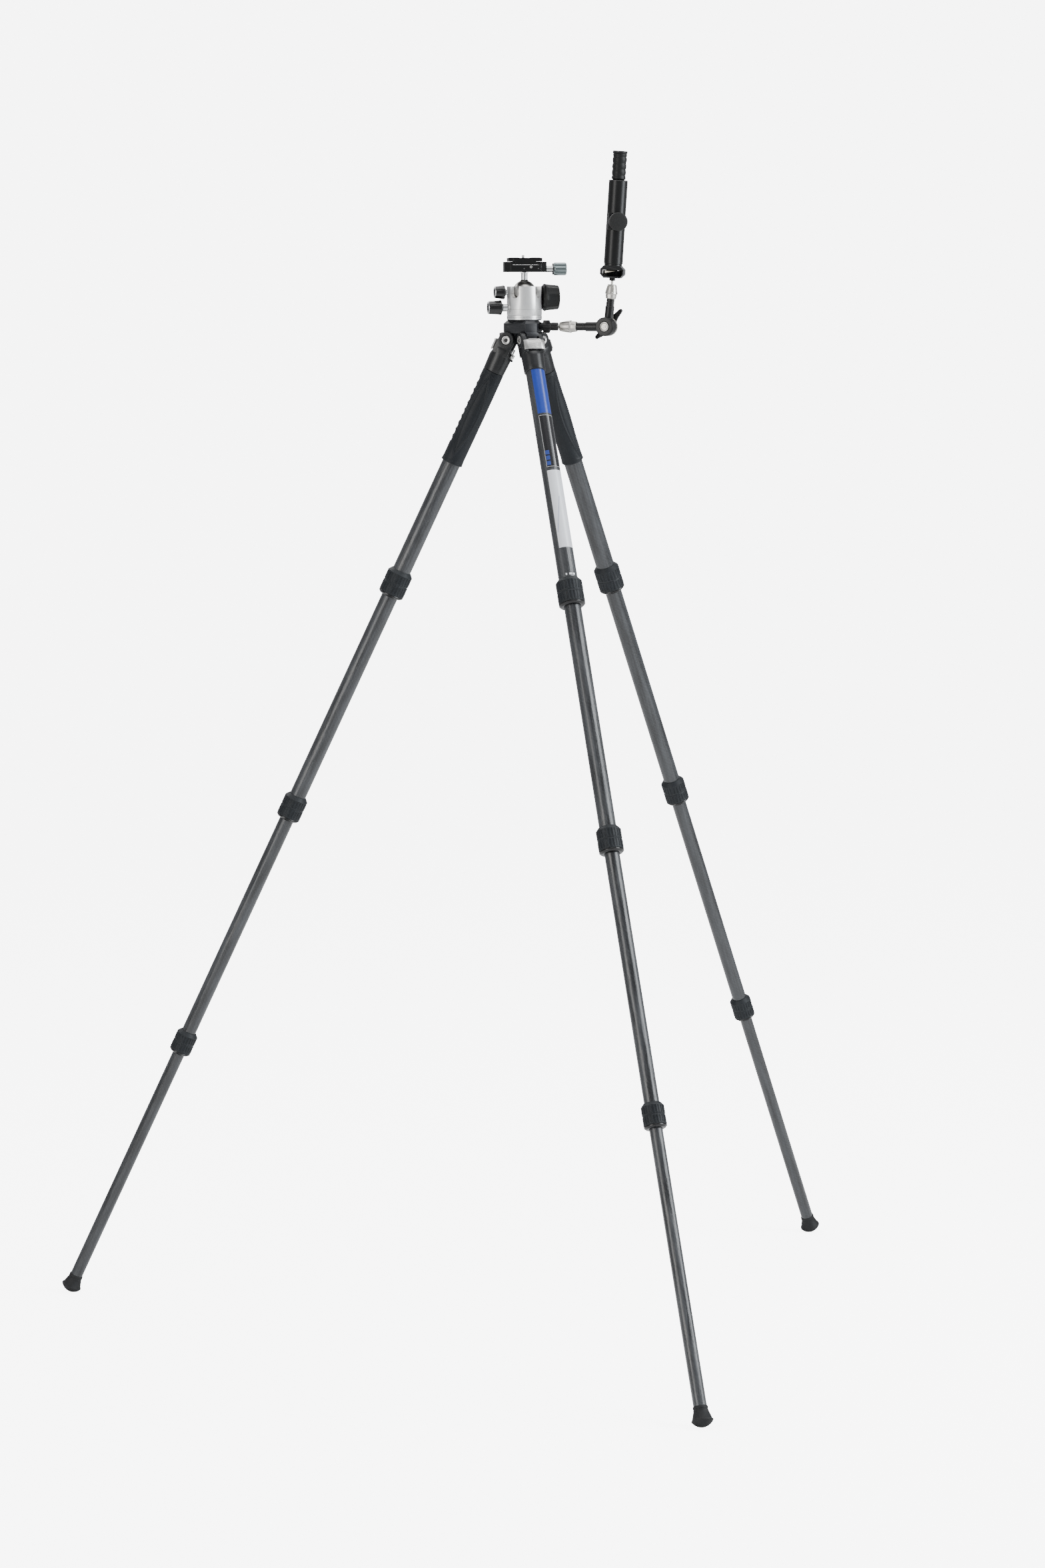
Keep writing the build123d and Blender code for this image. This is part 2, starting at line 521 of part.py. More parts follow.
def holder_strip():
    """The spring strip across the slot, with its two brackets."""
    front = BLOCK_DEPTH / 2 - SLOT_DEPTH
    low = BLOCK_LOW + SLOT_LOW
    body = block(front, front + 3, -SLOT_WIDTH / 2, SLOT_WIDTH / 2, low + 1.5, low + SLOT_HEIGHT - 1.5)
    for side in (-1, 1):
        y0, y1 = sorted((side * SLOT_WIDTH / 2, side * (SLOT_WIDTH / 2 - 6)))
        body += block(front, front + 6, y0, y1, low, low + SLOT_HEIGHT)
    return Rot(0, 0, BLOCK_TURN) * body


def holder_tube():
    """The holder's tube, open at the top, with a flat boss for its knob."""
    low = BLOCK_LOW + BLOCK_HEIGHT
    body = cylinder(HOLDER_TUBE_R, low, low + HOLDER_TUBE_LENGTH)
    body += Pos(0, 0, HOLDER_KNOB_Z) * along_x(cylinder(10, 0, 16))
    body -= cylinder(HOLDER_BORE_R, low + 30, low + HOLDER_TUBE_LENGTH + 1)
    return body - Pos(0, 0, HOLDER_KNOB_Z) * along_x(cylinder(SMALL_SHAFT_R + FIT, 5, 20))


def holder_knob():
    """The round knob that grips what is in the holder's tube."""
    outline = ((0, 11.6), (SMALL_SHAFT_R, 11.6), (SMALL_SHAFT_R, 16.3), (HOLDER_KNOB_R, 16.3),
               (HOLDER_KNOB_R, 26), (HOLDER_KNOB_R - 1, 27), (0, 27))
    return Pos(0, 0, HOLDER_KNOB_Z) * along_x(turned(*outline))


def holder_grip():
    """The ribbed rubber grip that slides in the holder's tube."""
    top = BLOCK_LOW + BLOCK_HEIGHT + HOLDER_TUBE_LENGTH
    body = cylinder(9.0, top - 35, top + 2) + cylinder(GRIP_RIB_R, top + 1, top + GRIP_OUT - 4)
    return body + cylinder(GRIP_RIB_R + 0.6, top + GRIP_OUT - 4, top + GRIP_OUT)


nodes = {}
for name, azimuth in zip(LEG_NAMES, LEG_AZIMUTHS):
    frame = leg_frame(azimuth)
    nodes[f"{name}_hinge_casting"] = frame * Compound(children=[hinge_casting(), detent_pin()])
    nodes[f"{name}_angle_tab"] = frame * angle_tab()
    for n in range(4):
        nodes[f"{name}_tube_{n + 1}"] = frame * leg_tube(n)
    for n in range(3):
        nodes[f"{name}_lock_{n + 1}"] = frame * twist_lock(n)
    nodes[f"{name}_foot"] = frame * foot()
    if name in GRIP_LEGS:
        nodes[f"{name}_grip"] = frame * grip_sleeve()
nodes["leg_axles"] = Compound(children=[leg_frame(a) * leg_axle() for a in LEG_AZIMUTHS])

nodes["apex_casting"] = APEX * apex_casting()
nodes["head_screw"] = APEX * head_screw()
nodes["pan_base"] = APEX * pan_base()
for name, shape in (
    ("housing", housing()), ("ball", ball()), ("ball_cup", ball_cup()), ("main_knob", main_knob()),
    ("friction_knob", friction_knob()), ("pan_knob", pan_knob()),
):
    nodes[name] = HEAD * shape
for name, shape in (
    ("clamp_body", clamp_body()), ("clamp_jaw", clamp_jaw()), ("clamp_knob", clamp_knob()),
    ("quick_plate", quick_plate()), ("camera_screw", camera_screw()),
):
    nodes[name] = CLAMP * shape

nodes["arm_base"] = PORT * arm_base()
nodes["lower_collet"] = ARM * along_x(collet(COLLET_MOUTH, 9.0, 18.5))
nodes["lower_rod"] = ELBOW * lower_rod()
nodes["elbow_bolt"] = ELBOW * elbow_bolt()
nodes["wing_lever"] = ELBOW * wing_lever()
nodes["upper_rod"] = UPPER * upper_rod()
nodes["upper_collet"] = UPPER_BALL * Rot(180, 0, 0) * collet(COLLET_MOUTH, 5.0, 13.0)
nodes["end_ball"] = STUD * end_ball()
for name, shape in (
    ("holder_block", holder_block()), ("holder_strip", holder_strip()), ("holder_tube", holder_tube()),
    ("holder_knob", holder_knob()), ("holder_grip", holder_grip()),
):
    nodes[name] = HOLDER * shape

os.makedirs("parts", exist_ok=True)
for name, shape in nodes.items():
    export_step(shape, f"parts/{name}.step")
print(len(nodes), "nodes, apex axis at y =", round(APEX_Y, 3))
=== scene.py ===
import json
from math import acos, atan2, ceil, cos, degrees, exp, hypot, pi, radians, sin, sqrt

import bmesh
import bpy
from mathutils import Matrix, Vector


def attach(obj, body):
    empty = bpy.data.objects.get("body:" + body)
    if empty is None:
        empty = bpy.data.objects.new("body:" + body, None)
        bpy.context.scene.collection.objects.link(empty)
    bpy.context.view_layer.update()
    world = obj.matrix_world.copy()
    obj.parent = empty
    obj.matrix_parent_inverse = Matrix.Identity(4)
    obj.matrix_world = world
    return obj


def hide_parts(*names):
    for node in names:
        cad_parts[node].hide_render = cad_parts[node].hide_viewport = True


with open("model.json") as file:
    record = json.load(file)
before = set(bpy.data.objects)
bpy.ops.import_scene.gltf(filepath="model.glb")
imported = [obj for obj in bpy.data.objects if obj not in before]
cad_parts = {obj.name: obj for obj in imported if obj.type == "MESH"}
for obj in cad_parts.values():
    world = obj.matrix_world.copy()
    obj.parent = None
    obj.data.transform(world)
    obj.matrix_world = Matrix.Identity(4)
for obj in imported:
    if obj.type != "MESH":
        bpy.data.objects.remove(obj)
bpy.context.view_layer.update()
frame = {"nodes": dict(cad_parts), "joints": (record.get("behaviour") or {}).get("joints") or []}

# ---- The studio -------------------------------------------------------------------------------
# A pale sweep of paper, lit by a large soft key from the right, a weaker one from the left and a
# panel overhead. The camera stands six and a half metres off, at the height of the head.
CAMERA_DISTANCE = 6.497
CAMERA_AZIMUTH = -19.48  # degrees from looking along +Y, so that the front leg stands to the right
CAMERA_HEIGHT = 1.573
CAMERA_YAW, CAMERA_PITCH, CAMERA_ROLL = 19.44, 6.66, -0.14
CAMERA_LENS = 99.2
PAPER = (0.9, 0.9, 0.9)
PAPER_GLOW = 6.5  # overexposed, as seen by the camera
joints = {joint["name"]: joint for joint in frame["joints"]}
apex_axis = Vector(joints["pan"]["pos_m"])


def soft_box(name, azimuth, height, distance, size, power, colour=(1, 1, 1)):
    """A square area light that looks at the middle of the tripod."""
    turn = radians(azimuth)
    target = Vector((apex_axis.x, apex_axis.y, 0.95))
    data = bpy.data.lights.new(name, "AREA")
    data.shape = "RECTANGLE"
    data.size, data.size_y = size
    data.energy = power
    data.color = colour
    light = bpy.data.objects.new(name, data)
    light.location = Vector((sin(turn) * distance, -cos(turn) * distance, height)) + Vector((0, apex_axis.y, 0))
    light.rotation_euler = (target - light.location).to_track_quat("-Z", "Y").to_euler()
    bpy.context.scene.collection.objects.link(light)


def paper_sweep():
    """The floor, which curves up far behind the object."""
    bm = bmesh.new()
    bmesh.ops.create_grid(bm, x_segments=40, y_segments=40, size=15)
    for vert in bm.verts:
        beyond = max(0.0, vert.co.y - 6)
        vert.co.z = beyond**2 / 6
    for face in bm.faces:
        face.smooth = True
    mesh = bpy.data.meshes.new("paper_sweep")
    bm.to_mesh(mesh)
    bm.free()
    paper = bpy.data.materials.new("paper")
    paper.use_nodes = True
    tree = paper.node_tree
    shader = tree.nodes["Principled BSDF"]
    shader.inputs["Base Color"].default_value = (*PAPER, 1)
    shader.inputs["Roughness"].default_value = 0.9
    shader.inputs["Specular IOR Level"].default_value = 0.1
    shader.inputs["Emission Color"].default_value = (1, 1, 1, 1)
    seen = tree.nodes.new("ShaderNodeLightPath")
    glow = tree.nodes.new("ShaderNodeMath")
    glow.operation = "MULTIPLY"
    glow.inputs[1].default_value = PAPER_GLOW
    tree.links.new(seen.outputs["Is Camera Ray"], glow.inputs[0])
    tree.links.new(glow.outputs[0], shader.inputs["Emission Strength"])
    mesh.materials.append(paper)
    floor = bpy.data.objects.new("paper_sweep", mesh)
    bpy.context.scene.collection.objects.link(floor)


paper_sweep()
world = bpy.data.worlds.new("studio_air")
world.use_nodes = True
world.node_tree.nodes["Background"].inputs["Color"].default_value = (0.95, 0.97, 1.0, 1)
seen = world.node_tree.nodes.new("ShaderNodeLightPath")
brightness = world.node_tree.nodes.new("ShaderNodeMath")
brightness.operation = "MULTIPLY_ADD"
brightness.inputs[1].default_value = PAPER_GLOW
brightness.inputs[2].default_value = 0.45
world.node_tree.links.new(seen.outputs["Is Camera Ray"], brightness.inputs[0])
world.node_tree.links.new(brightness.outputs[0], world.node_tree.nodes["Background"].inputs["Strength"])
bpy.context.scene.world = world
soft_box("key", 52, 2.2, 3.0, (1.6, 2.6), 125, (0.93, 0.97, 1.0))
soft_box("fill", -62, 1.7, 3.6, (1.6, 2.6), 60, (1.0, 0.98, 0.95))
soft_box("overhead", 20, 4.0, 0.6, (2.4, 2.4), 50)
soft_box("backdrop", 180, 3.6, 2.2, (4.0, 2.0), 70)

camera_data = bpy.data.cameras.new("camera")
camera_data.lens = CAMERA_LENS
camera_data.sensor_width = 36
camera_data.clip_end = 100
camera = bpy.data.objects.new("camera", camera_data)
camera.location = (
    apex_axis.x + sin(radians(CAMERA_AZIMUTH)) * CAMERA_DISTANCE,
    apex_axis.y - cos(radians(CAMERA_AZIMUTH)) * CAMERA_DISTANCE,
    CAMERA_HEIGHT,
)
camera.rotation_euler = (
    Matrix.Rotation(-radians(CAMERA_YAW), 4, "Z")
    @ Matrix.Rotation(radians(90 - CAMERA_PITCH), 4, "X")
    @ Matrix.Rotation(radians(CAMERA_ROLL), 4, "Z")
).to_euler()
bpy.context.scene.collection.objects.link(camera)
bpy.context.scene.camera = camera

# ---- The apex casting -------------------------------------------------------------------------
# The die-cast part that everything bolts to: a six-sided plate with a chamfered top, three lugs
# for the legs and a threaded port on each slanting side. It is powder coated charcoal, and its
# edges are painted lighter: the coat is thin there, and the lighter colour also paints a sheen.
MM = Matrix.Scale(0.001, 4)
CHARCOAL = (0.012, 0.013, 0.016)
# Lighter edge colour: partly the thin coat, partly a painted sheen along the edges.
EDGE_WEAR_AND_SHEEN = (0.07, 0.074, 0.082)


def at(origin, x_axis, z_axis):
    """A drawing frame in millimetres: its origin, its X (squared up to Z) and its Z."""
    z = Vector(z_axis).normalized()
    y = z.cross(Vector(x_axis)).normalized()
    turned_frame = Matrix((y.cross(z), y, z)).transposed().to_4x4()
    return Matrix.Translation(Vector(origin)) @ turned_frame @ MM


def shader_group(name, inputs, outputs):
    """An empty shader node group: {socket: (kind, value)} in, {socket: kind} out."""
    group = bpy.data.node_groups.new(name, "ShaderNodeTree")
    for socket, (kind, value) in inputs.items():
        made = group.interface.new_socket(name=socket, in_out="INPUT", socket_type="NodeSocket" + kind)
        if value is not None:
            made.default_value = value
    for socket, kind in outputs.items():
        group.interface.new_socket(name=socket, in_out="OUTPUT", socket_type="NodeSocket" + kind)
    given = group.nodes.new("NodeGroupInput").outputs
    result = group.nodes.new("NodeGroupOutput").inputs
    return group, given, result


def node(tree, kind, inputs=None, **settings):
    """Adds a shader node. Each input is a value or the output socket that feeds it."""
    made = tree.nodes.new("ShaderNode" + kind)
    for key, value in settings.items():
        setattr(made, key, value)
    for key, value in (inputs or {}).items():
        if isinstance(value, bpy.types.NodeSocket):
            tree.links.new(value, made.inputs[key])
        else:
            made.inputs[key].default_value = value
    return made


def maths(tree, operation, *values):
    """The output of a Math node."""
    return node(tree, "Math", dict(enumerate(values)), operation=operation).outputs[0]


def noise(tree, coordinates, scale, detail=2.0, roughness=0.5):
    """The value of a 3-D noise."""
    inputs = {"Vector": coordinates, "Scale": scale, "Detail": detail, "Roughness": roughness}
    return node(tree, "TexNoise", inputs).outputs["Fac"]


def remap(tree, value, low, high, new_low, new_high):
    """A clamped linear map of a value."""
    inputs = {"Value": value, "From Min": low, "From Max": high, "To Min": new_low, "To Max": new_high}
    return node(tree, "MapRange", inputs).outputs["Result"]


def mixed(tree, factor, a, b):
    """A colour between two colours."""
    made = node(tree, "Mix", data_type="RGBA")
    for socket, value in zip((made.inputs[0], made.inputs[6], made.inputs[7]), (factor, a, b)):
        if isinstance(value, bpy.types.NodeSocket):
            tree.links.new(value, socket)
        else:
            socket.default_value = (*value, 1) if isinstance(value, tuple) and len(value) == 3 else value
    return made.outputs[2]


def make_grain_group():
    """Fine grain and large soft clouds, both from 0 to 1, for coats, mouldings and anodising."""
    inputs = {"Coordinates": ("Vector", None), "Grain scale": ("Float", 2.0), "Cloud scale": ("Float", 0.05)}
    group, given, result = shader_group("grain_and_clouds", inputs, {"Grain": "Float", "Clouds": "Float"})
    grain = noise(group, given["Coordinates"], given["Grain scale"], 3.0, 0.6)
    clouds = noise(group, given["Coordinates"], given["Cloud scale"], 4.0, 0.55)
    group.links.new(remap(group, grain, 0.3, 0.7, 0, 1), result["Grain"])
    group.links.new(remap(group, clouds, 0.3, 0.7, 0, 1), result["Clouds"])
    return group


def make_edge_group():
    """A mask of edges that get a lighter colour, for wear and for a painted highlight: where a rounded normal leaves
    the true one.
    """
    inputs = {"Coordinates": ("Vector", None), "Width": ("Float", 0.0006)}
    group, given, result = shader_group("edge_wear_and_highlight", inputs, {"Mask": "Float"})
    rounded = node(group, "Bevel", {"Radius": given["Width"]}, samples=4).outputs[0]
    true = node(group, "NewGeometry").outputs["Normal"]
    inputs = {0: rounded, 1: true}
    same = node(group, "VectorMath", inputs, operation="DOT_PRODUCT").outputs["Value"]
    edge = remap(group, same, 0.985, 0.86, 0, 1)
    patchy = remap(group, noise(group, given["Coordinates"], 0.35, 3.0), 0.35, 0.6, 0.45, 1)
    group.links.new(maths(group, "MULTIPLY", edge, patchy), result["Mask"])
    return group


grain_group = make_grain_group()
edge_group = make_edge_group()


def local_millimetres(tree, place):
    """Object coordinates turned into a piece's own drawing frame, in millimetres."""
    inputs = {
        "Vector": node(tree, "TexCoord").outputs["Object"],
        "Location": place.to_translation(),
        "Rotation": place.to_euler(),
        "Scale": place.to_scale(),
    }
    return node(tree, "Mapping", inputs, vector_type="TEXTURE").outputs["Vector"]


def finish(name, place, colour, roughness, edge=None, edge_width=0.0006, metallic=0.0, grain=2.0, bump=0.15,
           clouds=0.05, mottle=0.12, coat=0.0, specular=0.5, sheen=0.0, streak=None):
    """A material: a coat with grain, clouds and lighter edges, partly wear and partly a painted highlight. streak is
    the drawing axis of its brushing.
    """
    material = bpy.data.materials.new(name)
    material.use_nodes = True
    tree = material.node_tree
    shader = tree.nodes["Principled BSDF"]
    local = local_millimetres(tree, place)
    pattern = local
    if streak is not None:
        stretch = [1.0, 1.0, 1.0]
        stretch[streak] = 0.03
        pattern = node(tree, "Mapping", {"Vector": local, "Scale": stretch}).outputs["Vector"]
    texture = node(tree, "Group", node_tree=grain_group)
    tree.links.new(pattern, texture.inputs["Coordinates"])
    texture.inputs["Grain scale"].default_value = grain
    texture.inputs["Cloud scale"].default_value = clouds
    dark = tuple(channel * (1 - mottle) for channel in colour)
    light = tuple(min(1.0, channel * (1 + mottle)) for channel in colour)
    skin = mixed(tree, texture.outputs["Clouds"], dark, light)
    rough = remap(tree, texture.outputs["Grain"], 0, 1, roughness * 0.88, roughness * 1.12)
    # The edge colour paints the edges lighter: wear on the steel and the lever, and on some finishes, such as the black
    # anodising, a painted highlight.
    if edge is not None:
        wear_and_sheen_mask = node(tree, "Group", node_tree=edge_group)
        tree.links.new(local, wear_and_sheen_mask.inputs["Coordinates"])
        wear_and_sheen_mask.inputs["Width"].default_value = edge_width
        skin = mixed(tree, wear_and_sheen_mask.outputs["Mask"], skin, edge)
    tree.links.new(skin, shader.inputs["Base Color"])
    tree.links.new(rough, shader.inputs["Roughness"])
    if bump:
        height = {"Height": texture.outputs["Grain"], "Strength": bump, "Distance": 0.0002}
        tree.links.new(node(tree, "Bump", height).outputs["Normal"], shader.inputs["Normal"])
    shader.inputs["Metallic"].default_value = metallic
    shader.inputs["Specular IOR Level"].default_value = specular
    shader.inputs["Coat Weight"].default_value = coat
    shader.inputs["Coat Roughness"].default_value = 0.15
    shader.inputs["Sheen Weight"].default_value = sheen
    shader.inputs["Sheen Roughness"].default_value = 0.4
    return material


def arc(cx, cz, radius, start, end, steps):
    """Points of an outline along an arc, angles in degrees."""
    angles = [radians(start + (end - start) * i / steps) for i in range(steps + 1)]
    return [(cx + radius * cos(a), cz + radius * sin(a)) for a in angles]


def turn(bm, outline, steps=64, closed=False):
    """Spins a (radius, height) outline round Z. A closed outline is a ring's section."""
    verts = [bm.verts.new((radius, 0, height)) for radius, height in outline]
    edges = [bm.edges.new(pair) for pair in zip(verts, verts[1:])]
    if closed:
        edges.append(bm.edges.new((verts[-1], verts[0])))
    spun = bmesh.ops.spin(
        bm, geom=verts + edges, cent=(0, 0, 0), axis=(0, 0, 1), angle=2 * pi, steps=steps, use_merge=True
    )
    made = {v for v in spun["geom_last"] if isinstance(v, bmesh.types.BMVert)} | set(verts)
    grown = set(made)
    todo = list(made)
    while todo:
        for link in todo.pop().link_edges:
            for vert in link.verts:
                if vert not in grown:
                    grown.add(vert)
                    todo.append(vert)
    poles = [v for v in grown if hypot(v.co.x, v.co.y) < 1e-6]
    bmesh.ops.remove_doubles(bm, verts=poles, dist=1e-5)
    return [v for v in grown if v.is_valid]


def prism(bm, outline, low, high):
    """Extrudes an (x, y) outline along Z between two heights."""
    base = bm.faces.new([bm.verts.new((x, y, low)) for x, y in outline])
    grown = bmesh.ops.extrude_face_region(bm, geom=[base])["geom"]
    top = [v for v in grown if isinstance(v, bmesh.types.BMVert)]
    bmesh.ops.translate(bm, verts=top, vec=(0, 0, high - low))
    return list(base.verts) + top


def bar(bm, low, high):
    """A box between two corners."""
    made = bmesh.ops.create_cube(bm, size=1)["verts"]
    size = Vector(high) - Vector(low)
    bmesh.ops.scale(bm, verts=made, vec=size)
    bmesh.ops.translate(bm, verts=made, vec=Vector(low) + size / 2)
    return made


def soften(bm, verts, width, segments=2, sharper=25, only=None):
    """Rounds the sharp edges between the given vertices."""
    inside = set(verts)
    edges = {e for v in verts for e in v.link_edges if e.verts[0] in inside and e.verts[1] in inside}
    edges = [e for e in edges if len(e.link_faces) == 2 and e.calc_face_angle() > radians(sharper)]
    if only is not None:
        edges = [e for e in edges if only(e)]
    rounded = bmesh.ops.bevel(
        bm, geom=edges, offset=width, affect="EDGES", segments=segments, profile=0.5, material=-1,
        clamp_overlap=True,
    )
    return rounded["faces"]


def move(bm, verts, matrix):
    """Turns or shifts some vertices within the drawing frame."""
    bmesh.ops.transform(bm, matrix=matrix, verts=verts)
    return verts


def finished(bm, name, place, body, materials, stands_for=(), sharp=38):
    """Turns a drawing into a piece: in place, smooth between its sharp edges, riding on its body."""
    bmesh.ops.recalc_face_normals(bm, faces=bm.faces)
    bmesh.ops.transform(bm, matrix=place, verts=bm.verts)
    for face in bm.faces:
        face.smooth = True
    for edge in bm.edges:
        edge.smooth = len(edge.link_faces) == 2 and edge.calc_face_angle() < radians(sharp)
    mesh = bpy.data.meshes.new(name)
    bm.to_mesh(mesh)
    bm.free()
    for material in materials:
        mesh.materials.append(material)
    piece = bpy.data.objects.new(name, mesh)
    bpy.context.scene.collection.objects.link(piece)
    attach(piece, body)
    if stands_for:
        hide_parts(*stands_for)
    return piece


def copy_of(cad_node, place):
    """A CAD node's shape as one merged mesh with flat faces joined, in its drawing frame."""
    bm = bmesh.new()
    bm.from_mesh(frame["nodes"][cad_node].data)
    bmesh.ops.transform(bm, matrix=place.inverted(), verts=bm.verts)
    bmesh.ops.remove_doubles(bm, verts=bm.verts, dist=0.002)
    bmesh.ops.dissolve_limit(bm, angle_limit=radians(0.6), verts=bm.verts, edges=bm.edges)
    return bm


APEX = at((apex_axis.x, apex_axis.y, 0), (1, 0, 0), (0, 0, 1))
charcoal_coat = finish("charcoal_coat", APEX, CHARCOAL, 0.42, edge=EDGE_WEAR_AND_SHEEN, edge_width=0.0008, grain=3.0,
                       bump=0.12, mottle=0.1)
casting = copy_of("apex_casting", APEX)
soften(casting, list(casting.verts), 0.8, 2)
finished(casting, "apex_shell", APEX, "apex", [charcoal_coat], ["apex_casting"])

# ---- The leg bolts ----------------------------------------------------------------------------
# Two stainless screws for each leg, one from each side of its hinge, into a sleeve through the
# lug. Their heads are turned, with a hexagon socket pressed into the middle.
SHOULDER = 17.5  # half the width over a hinge's cheeks
LEG_NAMES = ("front", "right", "left")
STEEL = (0.62, 0.61, 0.59)
steel = finish("stainless_steel", APEX, STEEL, 0.24, edge=(0.9, 0.9, 0.88), edge_width=0.0004, metallic=1.0,
               grain=1.5, bump=0.05, mottle=0.08)


def leg_drawing(name):
    """A leg's drawing frame: origin on the hinge axis, Z up the tube, X outwards, Y along the bolt."""
    spread = joints[f"{name}_leg_spread"]
    up = Vector(joints[f"{name}_slide_2"]["axis"])
    return at(spread["pos_m"], (-Vector(spread["axis"])).cross(up), up)


def reshape(verts, radius_at):
    """Moves vertices to a new distance from Z, given by radius_at(radius, angle, height)."""
    for vert in verts:
        radius = hypot(vert.co.x, vert.co.y)
        if radius > 1e-6:
            scale = radius_at(radius, atan2(vert.co.y, vert.co.x), vert.co.z) / radius
            vert.co.x *= scale
            vert.co.y *= scale


def hexagonal(reach, across, low):
    """For reshape: turns what lies within reach and above low into a hexagon of that size across flats."""

    def radius_at(radius, angle, height):
        if radius > reach or height < low:
            return radius
        return radius / reach * across / 2 / cos((angle + pi / 6) % (pi / 3) - pi / 6)

    return radius_at


LEGS = {name: leg_drawing(name) for name in LEG_NAMES}
bolts = bmesh.new()
for drawing in LEGS.values():
    for side in (-1, 1):
        head = [(0, 10), (4, 10), (4, 14.2), (6.0, 14.2), (6.4, 14.6), (6.4, 17.4), *arc(5.8, 17.4, 0.6, 0, 90, 4),
                (4.1, 18.0), (3.6, 17.7), (2.9, 17.5), (2.9, 15.4), (2.2, 15.2), (0, 15.2)]
        verts = turn(bolts, head, 48)
        reshape(verts, hexagonal(2.95, 5.4, 15.0))
        to_side = Matrix.Rotation(radians(-90 * side), 4, "X")
        move(bolts, verts, APEX.inverted() @ drawing @ to_side)
        soften(bolts, verts, 0.12, 1, 50)
    sleeve = turn(bolts, [(0, -12), (3.95, -12), (3.95, 12), (0, 12)], 32)
    move(bolts, sleeve, APEX.inverted() @ drawing @ Matrix.Rotation(radians(90), 4, "X"))
finished(bolts, "leg_bolts", APEX, "apex", [steel], ["leg_axles"])

# ---- The hinge castings -----------------------------------------------------------------------
# One fork for each leg, cast like the apex: two round cheeks that straddle the lug and a socket
# that the top tube is glued into. The coat is black satin, and glossier round the socket.
SOCKET_R = 16.9
CASTING_BLACK = (0.006, 0.0064, 0.0075)
casting_coat = finish("casting_coat", APEX, CASTING_BLACK, 0.34, edge=(0.05, 0.053, 0.058), edge_width=0.0007,
                      grain=2.5, bump=0.08, mottle=0.1)


def squared_neck(radius, angle, height):
    """For reshape: the socket grows square towards the cheeks."""
    share = min(1.0, max(0.0, (height + 27) / 9))
    share = share * share * (3 - 2 * share)
    corner = (abs(cos(angle) / 12.6) ** 4 + abs(sin(angle) / 16.9) ** 4) ** -0.25
    return radius + (corner - SOCKET_R) * share * radius / SOCKET_R


def hinge_casting(name, drawing):
    """One fork, with a raised ring round each bolt."""
    bm = bmesh.new()
    socket = [(14.1, -52.0), *arc(15.0, -50.9, 1.1, -90, 0, 4), (16.3, -44), (16.6, -36), (16.8, -30),
              (SOCKET_R, -27), (SOCKET_R, -24), (SOCKET_R, -21), (SOCKET_R, -18), (SOCKET_R, -14),
              (SOCKET_R - 1, -12.2), (0, -12.2)]
    outline = [(0, -26.6), (12.75, -26.6), (12.75, -48), (14.1, -48), *socket]
    verts = turn(bm, outline, 64)
    reshape(verts, squared_neck)
    for side in (-1, 1):
        cheek = [(-11.2, -24), (-12.3, -2), *arc(0, 0, 12.2, 185, -5, 24), (13.2, -14), (13.2, -24)]
        upright = Matrix.Rotation(radians(90), 4, "X") @ Matrix.Scale(-side, 4, (0, 0, 1))
        soften(bm, move(bm, prism(bm, cheek, 9.5, 16.4), upright), 0.9, 3, 30)
        ring = [(6.75, 12), (6.75, 16.4), (7.4, 17.0), (7.9, 17.0), (8.4, 17.5), (10.6, 17.5),
                *arc(10.6, 16.4, 1.1, 80, 0, 4), (11.9, 12)]
        verts = turn(bm, ring, 64, closed=True)
        move(bm, verts, upright)
    hood = bar(bm, (10.2, -9.3, -11.5), (14.1, 9.3, -10.2))
    soften(bm, hood, 0.4, 2)
    ledge = prism(bm, [(-19.6, -3.2), (-19.6, 3.2), *[(-15.7 + 4.6 * cos(radians(a)), 4.6 * sin(radians(a)))
                                                    for a in (60, -60)]], -27.5, -24.6)
    soften(bm, ledge, 0.6, 2)
    return finished(bm, f"{name}_fork", drawing, f"{name}_leg", [casting_coat],
                    [f"{name}_hinge_casting"])


for leg_name, drawing in LEGS.items():
    hinge_casting(leg_name, drawing)

# ---- The detent pins --------------------------------------------------------------------------
# A small knurled stainless pin on a thin rod stands on the inner ledge of each fork.
PIN_X = -15.7
for leg_name, drawing in LEGS.items():
    pin = bmesh.new()
    outline = [(0, -24.5), (2.6, -24.5), (2.6, -22.8), (3.5, -22.6), (3.9, -22.2), (3.9, -17.4),
               (3.5, -16.9), (1.3, -16.9), (1.3, -9.4), (0.9, -9.0), (0, -9.0)]
    verts = turn(pin, outline, 48)
    reshape(verts, lambda r, a, z: r - 0.22 * (0.5 + 0.5 * cos(24 * a)) if r > 3.8 else r)
    move(pin, verts, Matrix.Translation((PIN_X, 0, 0)))
    finished(pin, f"{leg_name}_detent_pin", drawing, f"{leg_name}_leg", [steel])

